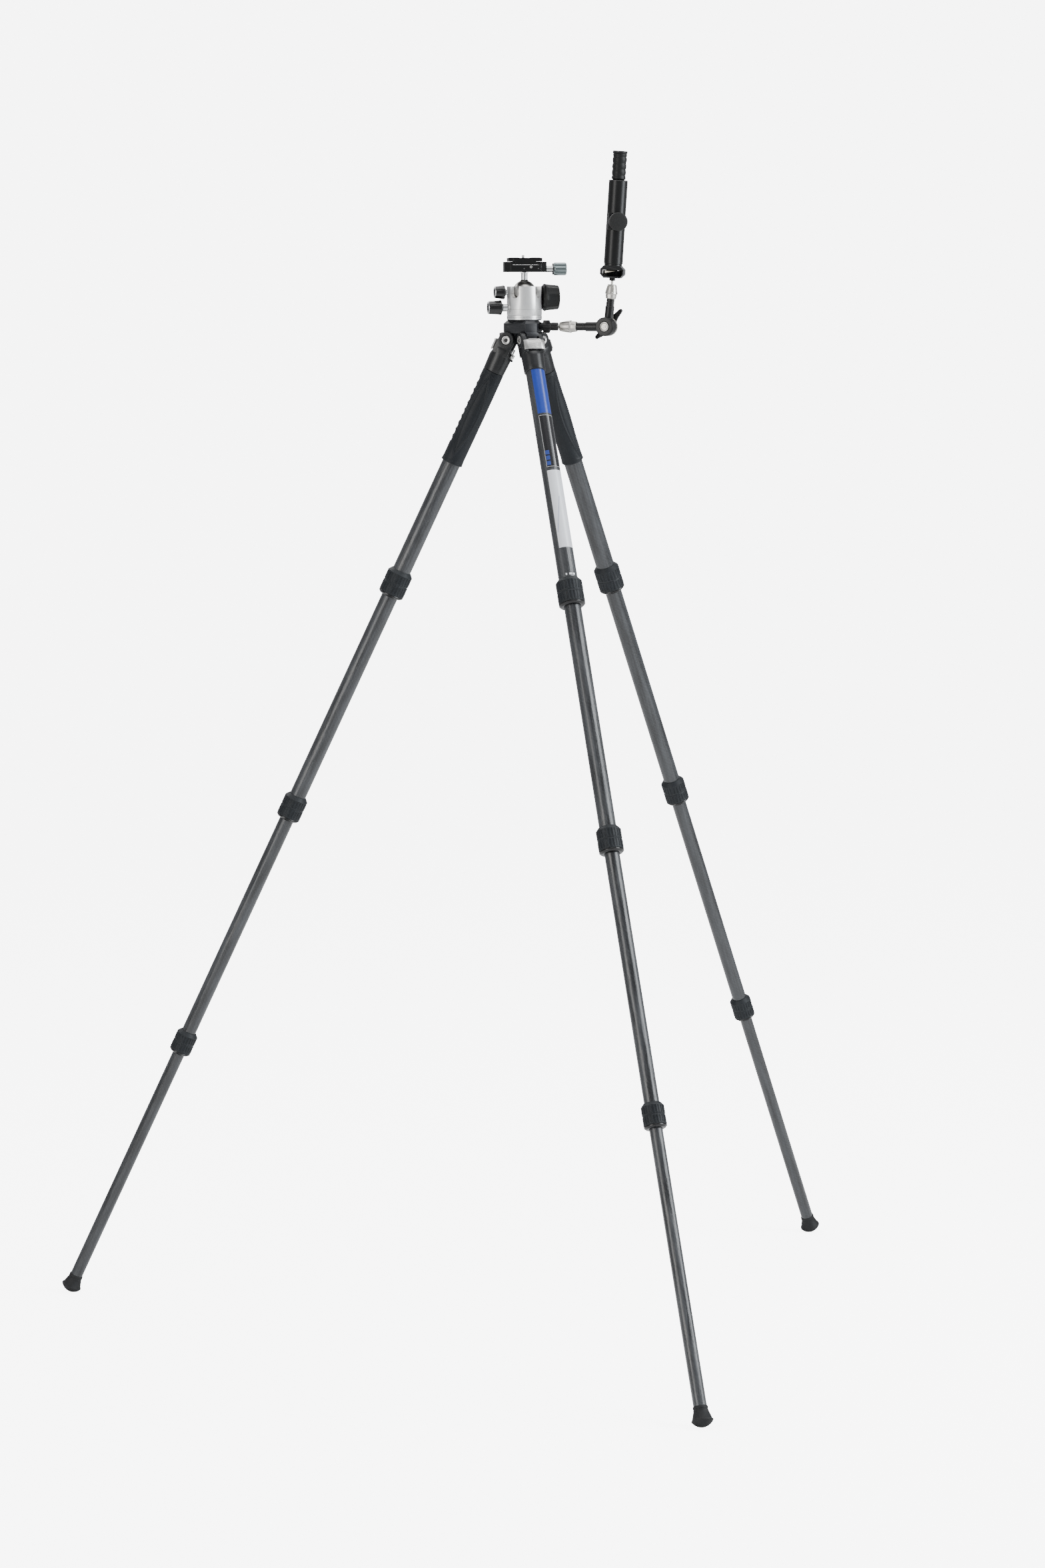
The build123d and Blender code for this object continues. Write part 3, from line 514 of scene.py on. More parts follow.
# ---- The angle tabs ---------------------------------------------------------------------------
# A pull tab pressed from stainless sheet: its sides are folded back, three ribs across the middle
# give the thumb a hold, and a thick tongue behind it drops between lug and fork.
TAB_FACE = 17.3
tab_steel = {
    name: finish(f"{name}_tab_steel", drawing, (0.6, 0.59, 0.57), 0.3, edge=(0.9, 0.89, 0.86),
                 edge_width=0.0005, metallic=1.0, grain=1.0, bump=0.04, mottle=0.05)
    for name, drawing in LEGS.items()
}
for leg_name, drawing in LEGS.items():
    tab = bmesh.new()
    fold = [(TAB_FACE, -10.5), (TAB_FACE, 10.5), (15.0, 16.4), (13.6, 15.9), (15.5, 9.8), (15.5, -9.8),
            (13.6, -15.9), (15.0, -16.4)]
    verts = prism(tab, fold, -21.4, -6.0)
    soften(tab, verts, 0.6, 3, 20)
    for height in (-13.2, -15.6, -18.0):
        rib = bar(tab, (TAB_FACE - 0.5, -5.0, height - 0.45), (TAB_FACE + 0.4, 5.0, height + 0.45))
        soften(tab, rib, 0.3, 2)
    lip = bar(tab, (TAB_FACE - 1.6, -9.4, -7.4), (TAB_FACE + 1.0, 9.4, -5.4))
    soften(tab, lip, 0.6, 3)
    tongue = bar(tab, (-0.8, -7.9, -14.6), (15.9, 7.9, -11.9))
    soften(tab, tongue, 0.4, 2)
    finished(tab, f"{leg_name}_pull_tab", drawing, f"{leg_name}_tab", [tab_steel[leg_name]],
             [f"{leg_name}_angle_tab"])

# ---- The carbon tubes -------------------------------------------------------------------------
# Four rolled carbon-fibre tubes a leg, each a sliding fit in the one above. A twill of fine tows
# shows through the clear resin, in long uneven streaks of gloss and relief; their lighter colour is a painted sheen.
TOWS_AROUND = (56, 48, 44, 36)
TOW_LENGTH = 1.57


def make_weave_group():
    """A twill on a tube's wall: its tone, mostly long streaks painted lighter as a sheen, its height, and the streaks.
    """
    inputs = {"Coordinates": ("Vector", None), "Tows around": ("Float", 56.0)}
    group, given, result = shader_group("tube_twill", inputs, {"Twill and sheen": "Float", "Height": "Float", "Streaks": "Float"})
    parts = node(group, "SeparateXYZ", {0: given["Coordinates"]}).outputs
    angle = maths(group, "ARCTAN2", parts[1], parts[0])
    along_turn = maths(group, "MULTIPLY", maths(group, "DIVIDE", angle, 2 * pi), given["Tows around"])
    along_tube = maths(group, "DIVIDE", parts[2], TOW_LENGTH)
    cell = maths(group, "ADD", maths(group, "FLOOR", along_turn), maths(group, "FLOOR", along_tube))
    warp = maths(group, "LESS_THAN", maths(group, "FLOORED_MODULO", cell, 4.0), 1.5)
    crowns = []
    for run in (along_turn, along_tube):
        middle = maths(group, "SUBTRACT", maths(group, "FRACT", run), 0.5)
        crowns.append(maths(group, "SUBTRACT", 1.0, maths(group, "POWER", maths(group, "ABSOLUTE", middle), 2.0)))
    chosen = node(group, "Mix", {0: warp, 2: crowns[1], 3: crowns[0]}).outputs[0]
    stretched = node(group, "Mapping", {"Vector": given["Coordinates"], "Scale": (0.16, 0.16, 0.014)}).outputs[0]
    streaks = remap(group, noise(group, stretched, 1.0, 4.0, 0.62), 0.36, 0.66, 0, 1)
    # The tone is mostly the streaks: lighter bands painted in as sheen, over a faint twill.
    shade = maths(group, "ADD", maths(group, "MULTIPLY", warp, 0.12), maths(group, "MULTIPLY", streaks, 0.88))
    group.links.new(shade, result["Twill and sheen"])
    group.links.new(chosen, result["Height"])
    group.links.new(streaks, result["Streaks"])
    return group


weave_group = make_weave_group()


def carbon(name, drawing, tows):
    """Carbon cloth under clear resin, for one size of tube on one leg."""
    material = bpy.data.materials.new(name)
    material.use_nodes = True
    tree = material.node_tree
    shader = tree.nodes["Principled BSDF"]
    weave = node(tree, "Group", node_tree=weave_group)
    tree.links.new(local_millimetres(tree, drawing), weave.inputs["Coordinates"])
    weave.inputs["Tows around"].default_value = tows
    # The lighter streaks in this colour are a painted sheen along the tubes.
    cloth = mixed(tree, weave.outputs["Twill and sheen"], (0.012, 0.0125, 0.014), (0.05, 0.054, 0.06))
    tree.links.new(cloth, shader.inputs["Base Color"])
    tree.links.new(remap(tree, weave.outputs["Streaks"], 0, 1, 0.26, 0.42), shader.inputs["Roughness"])
    twill = {"Height": weave.outputs["Height"], "Strength": 0.12, "Distance": 0.00015}
    uneven = node(tree, "Bump", twill).outputs["Normal"]
    streak = {"Height": weave.outputs["Streaks"], "Strength": 0.5, "Distance": 0.0008, "Normal": uneven}
    tree.links.new(node(tree, "Bump", streak).outputs["Normal"], shader.inputs["Normal"])
    shader.inputs["Specular IOR Level"].default_value = 0.55
    shader.inputs["Coat Weight"].default_value = 0.35
    shader.inputs["Coat Roughness"].default_value = 0.12
    return material


def dress(cad_node, material):
    """Gives a CAD node that keeps its own shape its material."""
    mesh = frame["nodes"][cad_node].data
    mesh.materials.clear()
    mesh.materials.append(material)


for leg_name, drawing in LEGS.items():
    for n, tows in enumerate(TOWS_AROUND, 1):
        dress(f"{leg_name}_tube_{n}", carbon(f"{leg_name}_carbon_{n}", drawing, tows))

# ---- The twist locks --------------------------------------------------------------------------
# Three collars a leg. Each is a moulded ring with a ribbed rubber sleeve: two rows of fine slots
# and a waist between them, a cone at the top and a hard black ring at the bottom.
LOCK_AT = (405.2, 787.1, 1196.4)  # down the leg from its hinge
LOCK_R = (19.5, 18.2, 16.6)
LOCK_LENGTH = (42.5, 40.0, 37.5)
TUBE_R = (14.0, 12.5, 11.0, 9.5)
SLOTS = 24
sleeve_rubber = finish("sleeve_rubber", APEX, (0.011, 0.0135, 0.0165), 0.5, edge=(0.045, 0.05, 0.056),
                       edge_width=0.0005, grain=4.0, bump=0.18, mottle=0.12, specular=0.3)
ring_plastic = finish("ring_plastic", APEX, (0.004, 0.0042, 0.005), 0.2, grain=3.0, bump=0.04, mottle=0.1)


def twist_lock(leg_name, drawing, n):
    """One collar, on the end of tube n + 1."""
    r, length = LOCK_R[n], LOCK_LENGTH[n]
    upper, lower = TUBE_R[n] + 0.05, TUBE_R[n + 1] + 0.3
    top, low = length / 2, -length / 2
    cone = top - 5.2
    rows = ((cone - 0.8, 1.4), (-1.4, low + 6.6))

    def slotted(radius, angle, height):
        """Slots with round ends, in both rows."""
        if radius < r - 2.2:
            return radius
        across = abs((angle / (2 * pi) * SLOTS) % 1 - 0.5) * 2
        depth = 0.0
        for start, end in rows:
            inside = min(start - height, height - end)
            depth = max(depth, min(1.0, max(0.0, inside / 1.0)))
        return radius - 0.85 * depth * min(1.0, max(0.0, (0.62 - across) / 0.2))

    bm = bmesh.new()
    side = [(r, cone), (r + 0.1, cone - 1.0)]
    for start, end in rows:
        side += [(r + 0.1, start - step) for step in (0.4, 0.8, 1.2)]
        side += [(r + 0.1, end + step) for step in (1.2, 0.8, 0.4)]
        side += [(r - (0.75 if end > 0 else 0.0), 0.0)] if end > 0 else []
    outline = [(upper, top), (r - 4.4, top), (r - 3.9, top - 0.5), *side, (r, low + 5.2), (r - 0.35, low + 4.6),
               (upper, low + 4.6)]
    verts = turn(bm, outline, SLOTS * 10, closed=True)
    reshape(verts, slotted)
    move(bm, verts, Matrix.Translation((0, 0, -LOCK_AT[n])))
    body = f"{leg_name}_lock_{n + 1}"
    finished(bm, f"{body}_sleeve", drawing, body, [sleeve_rubber], [body], sharp=30)
    ring = bmesh.new()
    outline = [(upper - 0.8, low + 4.5), (r - 0.5, low + 4.5), *arc(r - 0.7, low + 3.6, 0.6, 60, 0, 3),
               (r - 0.1, low + 2.6), (r - 2.4, low + 0.3), (r - 3.0, low), (lower, low), (lower, low + 2.0)]
    verts = turn(ring, outline, 96, closed=True)
    move(ring, verts, Matrix.Translation((0, 0, -LOCK_AT[n])))
    finished(ring, f"{body}_ring", drawing, body, [ring_plastic])


for leg_name, drawing in LEGS.items():
    for n in range(3):
        twist_lock(leg_name, drawing, n)

# ---- The feet ---------------------------------------------------------------------------------
# A black rubber mushroom on the end of each lowest tube: a short collar, a flaring skirt and a
# domed pad that meets the floor at any angle.
FOOT_TOP, FOOT_RIM_R, FOOT_DOME_R = 1612.0, 15.65, 18.1
foot_rubber = finish("foot_rubber", APEX, (0.009, 0.0095, 0.0105), 0.6, edge=(0.035, 0.036, 0.04),
                     edge_width=0.0006, grain=3.0, bump=0.25, mottle=0.2, specular=0.35)
for leg_name, drawing in LEGS.items():
    reach = (drawing.to_translation().z * 1000 - FOOT_DOME_R) / (drawing.to_3x3() @ Vector((0, 0, 1))).z / 1000
    dome = -reach
    rim_angle = degrees(acos(FOOT_RIM_R / FOOT_DOME_R))
    rubber = bmesh.new()
    outline = [(9.6, -FOOT_TOP + 1.5), (10.4, -FOOT_TOP + 0.9), (10.7, -FOOT_TOP), (10.7, -FOOT_TOP - 2.2),
               (10.2, -FOOT_TOP - 2.6), (10.2, -FOOT_TOP - 3.6), (10.7, -FOOT_TOP - 4.0),
               (10.7, -FOOT_TOP - 6.4), (11.4, -FOOT_TOP - 7.6), (14.2, dome - 6.8), (15.3, dome - 7.6),
               *arc(0, dome, FOOT_DOME_R, -rim_angle, -90, 16)]
    outline = [(0, -FOOT_TOP + 1.5), *outline]
    verts = turn(rubber, outline, 72)
    finished(rubber, f"{leg_name}_rubber_foot", drawing, f"{leg_name}_section_4", [foot_rubber],
             [f"{leg_name}_foot"])

# ---- The grips --------------------------------------------------------------------------------
# A moulded rubber sleeve on each of the two rear legs, stretched over the top tube. Ten shallow
# notches on the outer side take the fingers, a long raised leaf runs down each flank, and the
# lower end flares into a lip.
GRIP_TOP, GRIP_LOW, GRIP_R = -52.2, -203.0, 16.1
NOTCHES = 10
grip_rubber = finish("grip_rubber", APEX, (0.0085, 0.0105, 0.0135), 0.5, edge=(0.03, 0.034, 0.04),
                     edge_width=0.0005, grain=4.0, bump=0.2, mottle=0.12, specular=0.28)


def bump_at(distance, width):
    """A smooth ridge: 1 on the line, 0 a width away."""
    return exp(-((distance / width) ** 2))


def grip_radius(radius, angle, height):
    """For reshape: the relief of a grip, symmetric about its outer side."""
    if radius < GRIP_R - 1.5:
        return radius
    along = (GRIP_TOP - height) / (GRIP_TOP - GRIP_LOW)
    side = abs(angle)
    relief = 0.35 * sin(pi * min(1.0, along * 1.1)) + 0.9 * max(0.0, (along - 0.93) / 0.07) ** 2
    if 0.1 < along < 0.82:
        cycle = (along - 0.1) / 0.72 * NOTCHES % 1
        notch = max(0.0, sin(pi * min(1.0, cycle / 0.8))) if cycle < 0.8 else 0.0
        relief -= 1.15 * notch**0.7 * bump_at(side, 0.62)
    span = (along - 0.48) / 0.44
    across = abs(side - 1.6) * GRIP_R - 10.0 * (1 - span * span)
    inside = min(1.0, max(0.0, -across / 3))
    relief += 0.75 * bump_at(across, 1.1) - 0.4 * bump_at(across + 2.2, 1.0) + 0.25 * inside
    for start, run in ((0.035, 1), (0.975, -1)):
        curve = start + run * 0.05 * (side - 1.5) ** 2
        relief += 0.5 * bump_at((along - curve) * 151, 1.2) * bump_at(side - 1.5, 0.8)
    return radius + relief


for leg_name in ("right", "left"):
    grip = bmesh.new()
    rows = 220
    rise = GRIP_TOP - GRIP_LOW
    wall = [(GRIP_R, GRIP_TOP - 0.6 - (rise - 1.2) * i / rows) for i in range(rows + 1)]
    outline = [(14.06, GRIP_TOP), (GRIP_R - 0.6, GRIP_TOP), *wall, (GRIP_R - 0.6, GRIP_LOW), (14.06, GRIP_LOW)]
    verts = turn(grip, outline, 192, closed=True)
    reshape(verts, grip_radius)
    finished(grip, f"{leg_name}_moulded_grip", LEGS[leg_name], f"{leg_name}_leg",
             [grip_rubber], [f"{leg_name}_grip"], sharp=50)

# ---- The labels -------------------------------------------------------------------------------
# Three printed foils on the front leg's top tube, and the index marks above its first lock. They
# carry no lettering: plain colour fields, thin rules and three small squares.
FOIL_MIDDLE, FOIL_HALF = 11.0, 56.0  # degrees round the tube from its outer side
FOILS = ((-52.6, -123.5), (-125.5, -211.0), (-215.0, -337.5))


def foil(bm, start, end, top, low, lift, shear=0.0):
    """A curved patch on the top tube, between two angles and two heights."""
    made = bmesh.ops.create_grid(bm, x_segments=28, y_segments=6, size=0.5)["verts"]
    edges = {e for v in made for e in v.link_edges}
    faces = list({f for v in made for f in v.link_faces})
    grown = bmesh.ops.extrude_face_region(bm, geom=faces + list(edges))["geom"]
    raised = [v for v in grown if isinstance(v, bmesh.types.BMVert)]
    bmesh.ops.translate(bm, verts=raised, vec=(0, 0, 1))
    for vert in made + raised:
        angle = radians(start + (end - start) * (vert.co.x + 0.5) + shear * vert.co.y)
        radius = TUBE_R[0] + (lift if vert.co.z > 0.5 else 0.01)
        vert.co = (radius * cos(angle), radius * sin(angle), low + (top - low) * (vert.co.y + 0.5))
    return made + raised


def label(name, material, patches, lift):
    """A label or its print as one piece."""
    bm = bmesh.new()
    for patch in patches:
        foil(bm, *patch[:4], lift, *patch[4:])
    finished(bm, name, LEGS["front"], "front_leg", [material], sharp=60)


def frame_lines(start, end, top, low, width):
    """The four rules round a field."""
    turn_width = degrees(width / TUBE_R[0])
    return [(start, start + turn_width, top, low), (end - turn_width, end, top, low),
            (start, end, top, top - width), (start, end, low + width, low)]


foil_left, foil_right = FOIL_MIDDLE - FOIL_HALF, FOIL_MIDDLE + FOIL_HALF
blue_foil = finish("blue_foil", APEX, (0.006, 0.036, 0.3), 0.3, grain=2.0, bump=0.03, mottle=0.04, coat=0.3)
black_foil = finish("black_foil", APEX, (0.006, 0.006, 0.008), 0.28, grain=2.0, bump=0.03, mottle=0.06, coat=0.3)
silver_foil = finish("silver_foil", APEX, (0.74, 0.76, 0.8), 0.3, grain=2.0, bump=0.03, mottle=0.03, coat=0.3)
white_ink = finish("white_ink", APEX, (0.8, 0.81, 0.83), 0.45, grain=3.0, bump=0.02, mottle=0.04)
navy_ink = finish("navy_ink", APEX, (0.02, 0.05, 0.26), 0.4, grain=3.0, bump=0.02, mottle=0.06)
label("blue_label", blue_foil, [(foil_left, foil_right, *FOILS[0])], 0.08)
label("black_label", black_foil, [(foil_left, foil_right, *FOILS[1])], 0.08)
label("silver_label", silver_foil, [(foil_left, foil_right, *FOILS[2])], 0.08)
top, low = FOILS[1]
rule = foil_left + 62
label("black_label_rules", white_ink,
      frame_lines(foil_left + 3, foil_right - 3, top - 1.5, low + 1.5, 0.4) + [(rule, rule + 1.6, top - 1.5, low + 1.5)],
      0.12)
label("black_label_squares", navy_ink,
      [(foil_left + 8, foil_left + 32, low + 4 + 8.5 * i + 6.5, low + 4 + 8.5 * i) for i in range(3)], 0.12)
top, low = FOILS[2]
label("silver_label_border", navy_ink, [(foil_left + 28, foil_left + 30, top - 42, low + 24, 42)], 0.12)
label("lock_marks", white_ink,
      [(foil_left + 14 + 22 * i, foil_left + (23 if i == 0 else 31) + 22 * i, -378.2, -381.2) for i in range(3)], 0.1)

# ---- The head's base --------------------------------------------------------------------------
# The fixed ring that the ball head pans on: turned aluminium, anodised silver, with a scale of
# fine lines engraved round it and filled black.
HEAD_R = 26.2
BASE_LOW, BASE_TOP = 1513.4, 1519.7
ANODISED_SILVER = (0.84, 0.845, 0.84)
HEAD = at((apex_axis.x, apex_axis.y, 0), joints["ball_tilt"]["axis"], (0, 0, 1))
silver = finish("silver_anodising", HEAD, ANODISED_SILVER, 0.33, edge=(0.95, 0.95, 0.94), edge_width=0.0004,
                metallic=0.75, grain=3.0, bump=0.1, mottle=0.03)
bright_cut = finish("bright_cut", HEAD, (0.92, 0.92, 0.91), 0.14, metallic=1.0, grain=2.0, bump=0.02, mottle=0.02)
# Black for the engraved ticks, and for a painted shade ring under the base.
black_fill_and_shade = finish("black_fill_and_shade", HEAD, (0.03, 0.032, 0.034), 0.5, grain=3.0, bump=0.05, mottle=0.1)
base = bmesh.new()
turn(base, [(4.75, 1512.25), (24.6, 1512.25), (24.6, BASE_LOW), (25.7, BASE_LOW), (HEAD_R, BASE_LOW + 0.5),
            (HEAD_R, BASE_TOP - 0.5), (25.7, BASE_TOP), (12.0, BASE_TOP), (12.0, 1526.9), (4.75, 1526.9)], 128, closed=True)
finished(base, "pan_ring", HEAD, "apex", [silver], ["pan_base"])
scale = bmesh.new()
for i in range(72):
    tall = 1.5 if i % 6 == 0 else 0.85
    tick = bar(scale, (HEAD_R - 0.4, -0.19, 1516.9 - tall), (HEAD_R + 0.03, 0.19, 1516.9 + tall))
    move(scale, tick, Matrix.Rotation(radians(5 * i), 4, "Z"))
# A black ring under the base ring: painted shade in the gap beneath it.
turn(scale, [(24.0, 1512.2), (25.3, 1512.2), (25.3, BASE_LOW + 0.05), (24.0, BASE_LOW + 0.05)], 96, closed=True)
finished(scale, "pan_scale_and_shade_ring", HEAD, "apex", [black_fill_and_shade])
dress("head_screw", steel)

# ---- The housing ------------------------------------------------------------------------------
# The head's body, turned and milled from one block and bead blasted before its silver anodising.
# Its rim and both drop notches are cut again afterwards, which leaves a bright chamfer. A seat
# ring of pale plastic holds the ball from below.
HOUSING_LOW, HOUSING_TOP = 1520.0, 1562.7
body = copy_of("housing", HEAD)
cut_faces = soften(body, list(body.verts), 0.75, 2, 30,
                   only=lambda e: min(v.co.z for v in e.verts) > 1544 and max(v.co.xy.length for v in e.verts) > 20)
for face in cut_faces:
    face.material_index = 1
soften(body, list(body.verts), 0.4, 2, 40, only=lambda e: max(v.co.z for v in e.verts) < HOUSING_LOW + 1)
finished(body, "head_body", HEAD, "housing", [silver, bright_cut], ["housing"], sharp=30)
lines = bmesh.new()
turn(lines, [(HEAD_R - 0.3, 1528.1), (HEAD_R + 0.02, 1528.1), (HEAD_R + 0.02, 1528.5), (HEAD_R - 0.3, 1528.5)], 128,
     closed=True)
turn(lines, [(HEAD_R - 1.3, 1519.75), (HEAD_R - 0.35, 1519.75), (HEAD_R - 0.35, 1520.25), (HEAD_R - 1.3, 1520.25)], 128,
     closed=True)
etched_line = finish("etched_line", HEAD, (0.4, 0.4, 0.4), 0.45, metallic=0.6, grain=3.0, bump=0.05, mottle=0.1)
finished(lines, "head_lines", HEAD, "housing", [etched_line])
cup_plastic = finish("cup_plastic", HEAD, (0.62, 0.61, 0.56), 0.4, grain=3.0, bump=0.1, mottle=0.06)
dress("ball_cup", cup_plastic)

# ---- The ball ---------------------------------------------------------------------------------
# A turned aluminium ball, hard anodised grey, with its neck in one piece. The clamp turns on the
# stud at the top.
BALL_R, BALL_Z, NECK_R = 17.3, 1554.7, 4.9
ball_grey = finish("ball_grey", HEAD, (0.5, 0.49, 0.47), 0.3, metallic=1.0, grain=5.0, bump=0.06, mottle=0.05)
neck_silver = finish("neck_silver", HEAD, (0.78, 0.79, 0.79), 0.25, metallic=1.0, grain=2.0, bump=0.05, mottle=0.03)
ball = bmesh.new()
join_angle = degrees(acos(NECK_R / BALL_R)) - 5
outline = [*arc(0, BALL_Z, BALL_R, -90, join_angle, 44), *arc(6.6, 1573.2, 1.7, 250, 180, 5)[1:], (NECK_R, 1575.2),
           (NECK_R, 1582.4), (6.4, 1582.8), (6.4, 1583.6), (3.0, 1583.6), (3.0, 1590.0), (0, 1590.0)]
turn(ball, outline, 96)
for face in ball.faces:
    face.material_index = int(face.calc_center_median().z > 1572.4)
finished(ball, "head_ball", HEAD, "ball", [ball_grey, neck_silver], ["ball"])

# ---- The head's knobs -------------------------------------------------------------------------
# The main lock is a big knob moulded in black rubber over an aluminium core, with broad flats for
# the fingers. The drag knob and the pan knob are small and tapered, and each has a silver ring
# and a black cap on its end.
MAIN_Z, DRAG_Z, PAN_Z = 1546.4, 1554.1, 1531.3
knob_rubber = finish("knob_rubber", HEAD, (0.005, 0.0052, 0.0055), 0.46, edge=(0.022, 0.023, 0.025),
                     edge_width=0.0006, grain=4.0, bump=0.16, mottle=0.12, specular=0.3)
gloss_black = finish("gloss_black", HEAD, (0.004, 0.004, 0.0043), 0.24, edge=(0.02, 0.02, 0.021),
                     edge_width=0.0004, grain=3.0, bump=0.04, mottle=0.1, coat=0.2)
TO_RIGHT = HEAD @ Matrix.Rotation(radians(90), 4, "Y")
TO_LEFT = HEAD @ Matrix.Rotation(radians(-90), 4, "Y")


def raised_frame(drawing, height):
    """A sideways knob frame at a height on the apex axis."""
    return Matrix.Translation((0, 0, height / 1000)) @ drawing


def fluted(count, depth, low, high, inside, sharpness=1.0):
    """For reshape: flutes that run along Z between two heights, on everything outside a radius."""

    def radius_at(radius, angle, height):
        fade = min(1.0, max(0.0, min(height - low, high - height) / 1.2))
        wave = (0.5 + 0.5 * cos(count * angle)) ** sharpness
        return radius - depth * wave * fade if radius > inside else radius

    return radius_at


def paint(bm, index, test):
    """Gives faces that pass a test of (radius, height) another material."""
    for face in bm.faces:
        middle = face.calc_center_median()
        if test(hypot(middle.x, middle.y), middle.z):
            face.material_index = index


main = bmesh.new()
outline = [(0, 18.6), (5, 18.6), (5, 26.7), (16.5, 26.7), (17.2, 27.0), (20.1, 29.8), *arc(19.9, 30.6, 0.6, -40, 30, 3),
           (20.3, 31.6), (20.2, 32.6), (20.0, 33.8), (19.7, 36), (19.3, 40), (18.9, 44), (18.6, 47), (18.4, 48.6),
           *arc(16.2, 49.3, 2.1, 0, 80, 6), (13, 52.0), (12.4, 51.6), (11.8, 52.1), (6, 52.5), (0, 52.5)]
verts = turn(main, outline, 144)
reshape(verts, fluted(12, 0.75, 31.8, 50, 17, 0.6))
finished(main, "main_lock_knob", raised_frame(TO_RIGHT, MAIN_Z), "main_knob", [knob_rubber],
         ["main_knob"], sharp=45)


def small_knob(name, height, node_name, shank_r, start, inner, outer, end_r, end):
    """A tapered side knob: shank, flaring skirt, tapered grip, ring and cap."""
    bm = bmesh.new()
    outline = [(0, start), (3, start), (3, 26.7), (shank_r, 26.7), (shank_r, inner - 3.2), (outer - 2.6, inner - 0.8),
               *arc(outer - 1.0, inner + 0.2, 1.0, -60, 10, 4), (outer - 0.1, inner + 1.6), (outer - 0.4, inner + 3.2),
               (end_r + 0.5, end - 3.0), (end_r + 0.2, end - 1.6), (end_r, end - 0.7), (end_r - 0.7, end),
               (end_r - 2.9, end), (end_r - 3.2, end - 0.9), (0, end - 0.9)]
    verts = turn(bm, outline, 96)
    reshape(verts, fluted(16, 0.28, inner + 1.8, end - 1.4, end_r - 0.2))
    paint(bm, 1, lambda radius, z: z < inner - 2.5 or end_r - 3.0 < radius < end_r + 0.05 and z > end - 0.75)
    finished(bm, name, raised_frame(TO_LEFT, height), node_name, [gloss_black, neck_silver],
             [node_name], sharp=45)


small_knob("drag_knob", DRAG_Z, "friction_knob", 4.2, 18.6, 31.4, 10.5, 8.6, 45.5)
small_knob("pan_lock_knob", PAN_Z, "pan_knob", 5.6, 13.6, 36.2, 11.0, 9.4, 55.5)

# ---- The clamp --------------------------------------------------------------------------------
# A dovetail clamp milled from bar and anodised black, in two halves: a body that turns on the
# ball's stud and a jaw that the knob draws in. Its front shows a stop screw and two pin ends.
CLAMP = at((apex_axis.x, apex_axis.y, 0), joints["jaw_slide"]["axis"], (0, 0, 1))
CLAMP_FRONT = -20.0
# The light grey edge colour is a painted highlight: the bright reflections along the milled edges and corners.
anodised_black = finish("anodised_black", CLAMP, (0.014, 0.014, 0.0145), 0.32, edge=(0.4, 0.4, 0.4), edge_width=0.0004,
                        metallic=0.6, grain=3.5, bump=0.06, mottle=0.1)
for cad_node, piece_name, body_name in (("clamp_body", "clamp_block", "clamp"), ("clamp_jaw", "clamp_moving_jaw", "jaw")):
    half = copy_of(cad_node, CLAMP)
    soften(half, list(half.verts), 0.45, 2, 30)
    finished(half, piece_name, CLAMP, body_name, [anodised_black], [cad_node])


def facing_front(x, y, z):
    """A drawing frame on a front face, its Z out of the face."""
    return CLAMP @ Matrix.Translation((x, y, z)) @ Matrix.Rotation(radians(90), 4, "X")


stop = bmesh.new()
verts = turn(stop, [(0, -1), (1.7, -1), (1.9, 0.1), (1.9, 0.7), *arc(1.5, 0.7, 0.4, 0, 90, 3), (0.9, 1.1), (0.9, 0.4), (0, 0.4)], 32)
reshape(verts, hexagonal(0.95, 1.6, 0.3))
finished(stop, "clamp_stop_screw", facing_front(8.0, CLAMP_FRONT, 1591.6), "clamp", [steel])
dots = bmesh.new()
for x in (-2.2, 19.0):
    verts = turn(dots, [(0, -0.4), (0.75, -0.4), (0.75, 0.04), (0.45, 0.04), (0.45, -0.2), (0, -0.2)], 20)
    move(dots, verts, Matrix.Translation((x, 0, 0)))
finished(dots, "clamp_pin_ends", facing_front(0, CLAMP_FRONT, 1589.2), "clamp", [steel])

# ---- The clamp knob ---------------------------------------------------------------------------
# The clamp's own knob, turned aluminium with six milled flutes, anodised a greyish teal, on a
# silver shank, with a black washer behind it.
TEAL = (0.23, 0.275, 0.28)
SCREW_Z = 1588.5
TO_KNOB = raised_frame(CLAMP @ Matrix.Rotation(radians(90), 4, "Y"), SCREW_Z)
teal = finish("teal_anodising", TO_KNOB, TEAL, 0.26, edge=(0.75, 0.79, 0.8), edge_width=0.0004, metallic=0.9,
              grain=2.0, bump=0.06, mottle=0.04, streak=2)
knob = bmesh.new()
outline = [(0, 6), (2.9, 6), (2.9, 32.6), (4.85, 32.6), (4.85, 42.4), (8.6, 42.4), (8.6, 43.4), (8.2, 43.5),
           (9.4, 44.6), (10, 45.4), (10, 46.6), (10, 48), (10, 58), (10, 59.4), (10, 60.8), (9.6, 61.8), (8.6, 62.9),
           (7.2, 63.2), (3.0, 63.2), (2.6, 62.7), (0, 62.7)]
verts = turn(knob, outline, 144)
reshape(verts, fluted(6, 1.7, 43.5, 64.6, 9.0, 3.0))
paint(knob, 1, lambda radius, z: 42.3 < z < 43.45 and radius > 4.9)
paint(knob, 2, lambda radius, z: z < 42.35)
finished(knob, "clamp_fluted_knob", TO_KNOB, "clamp_knob", [teal, gloss_black, neck_silver],
         ["clamp_knob"])

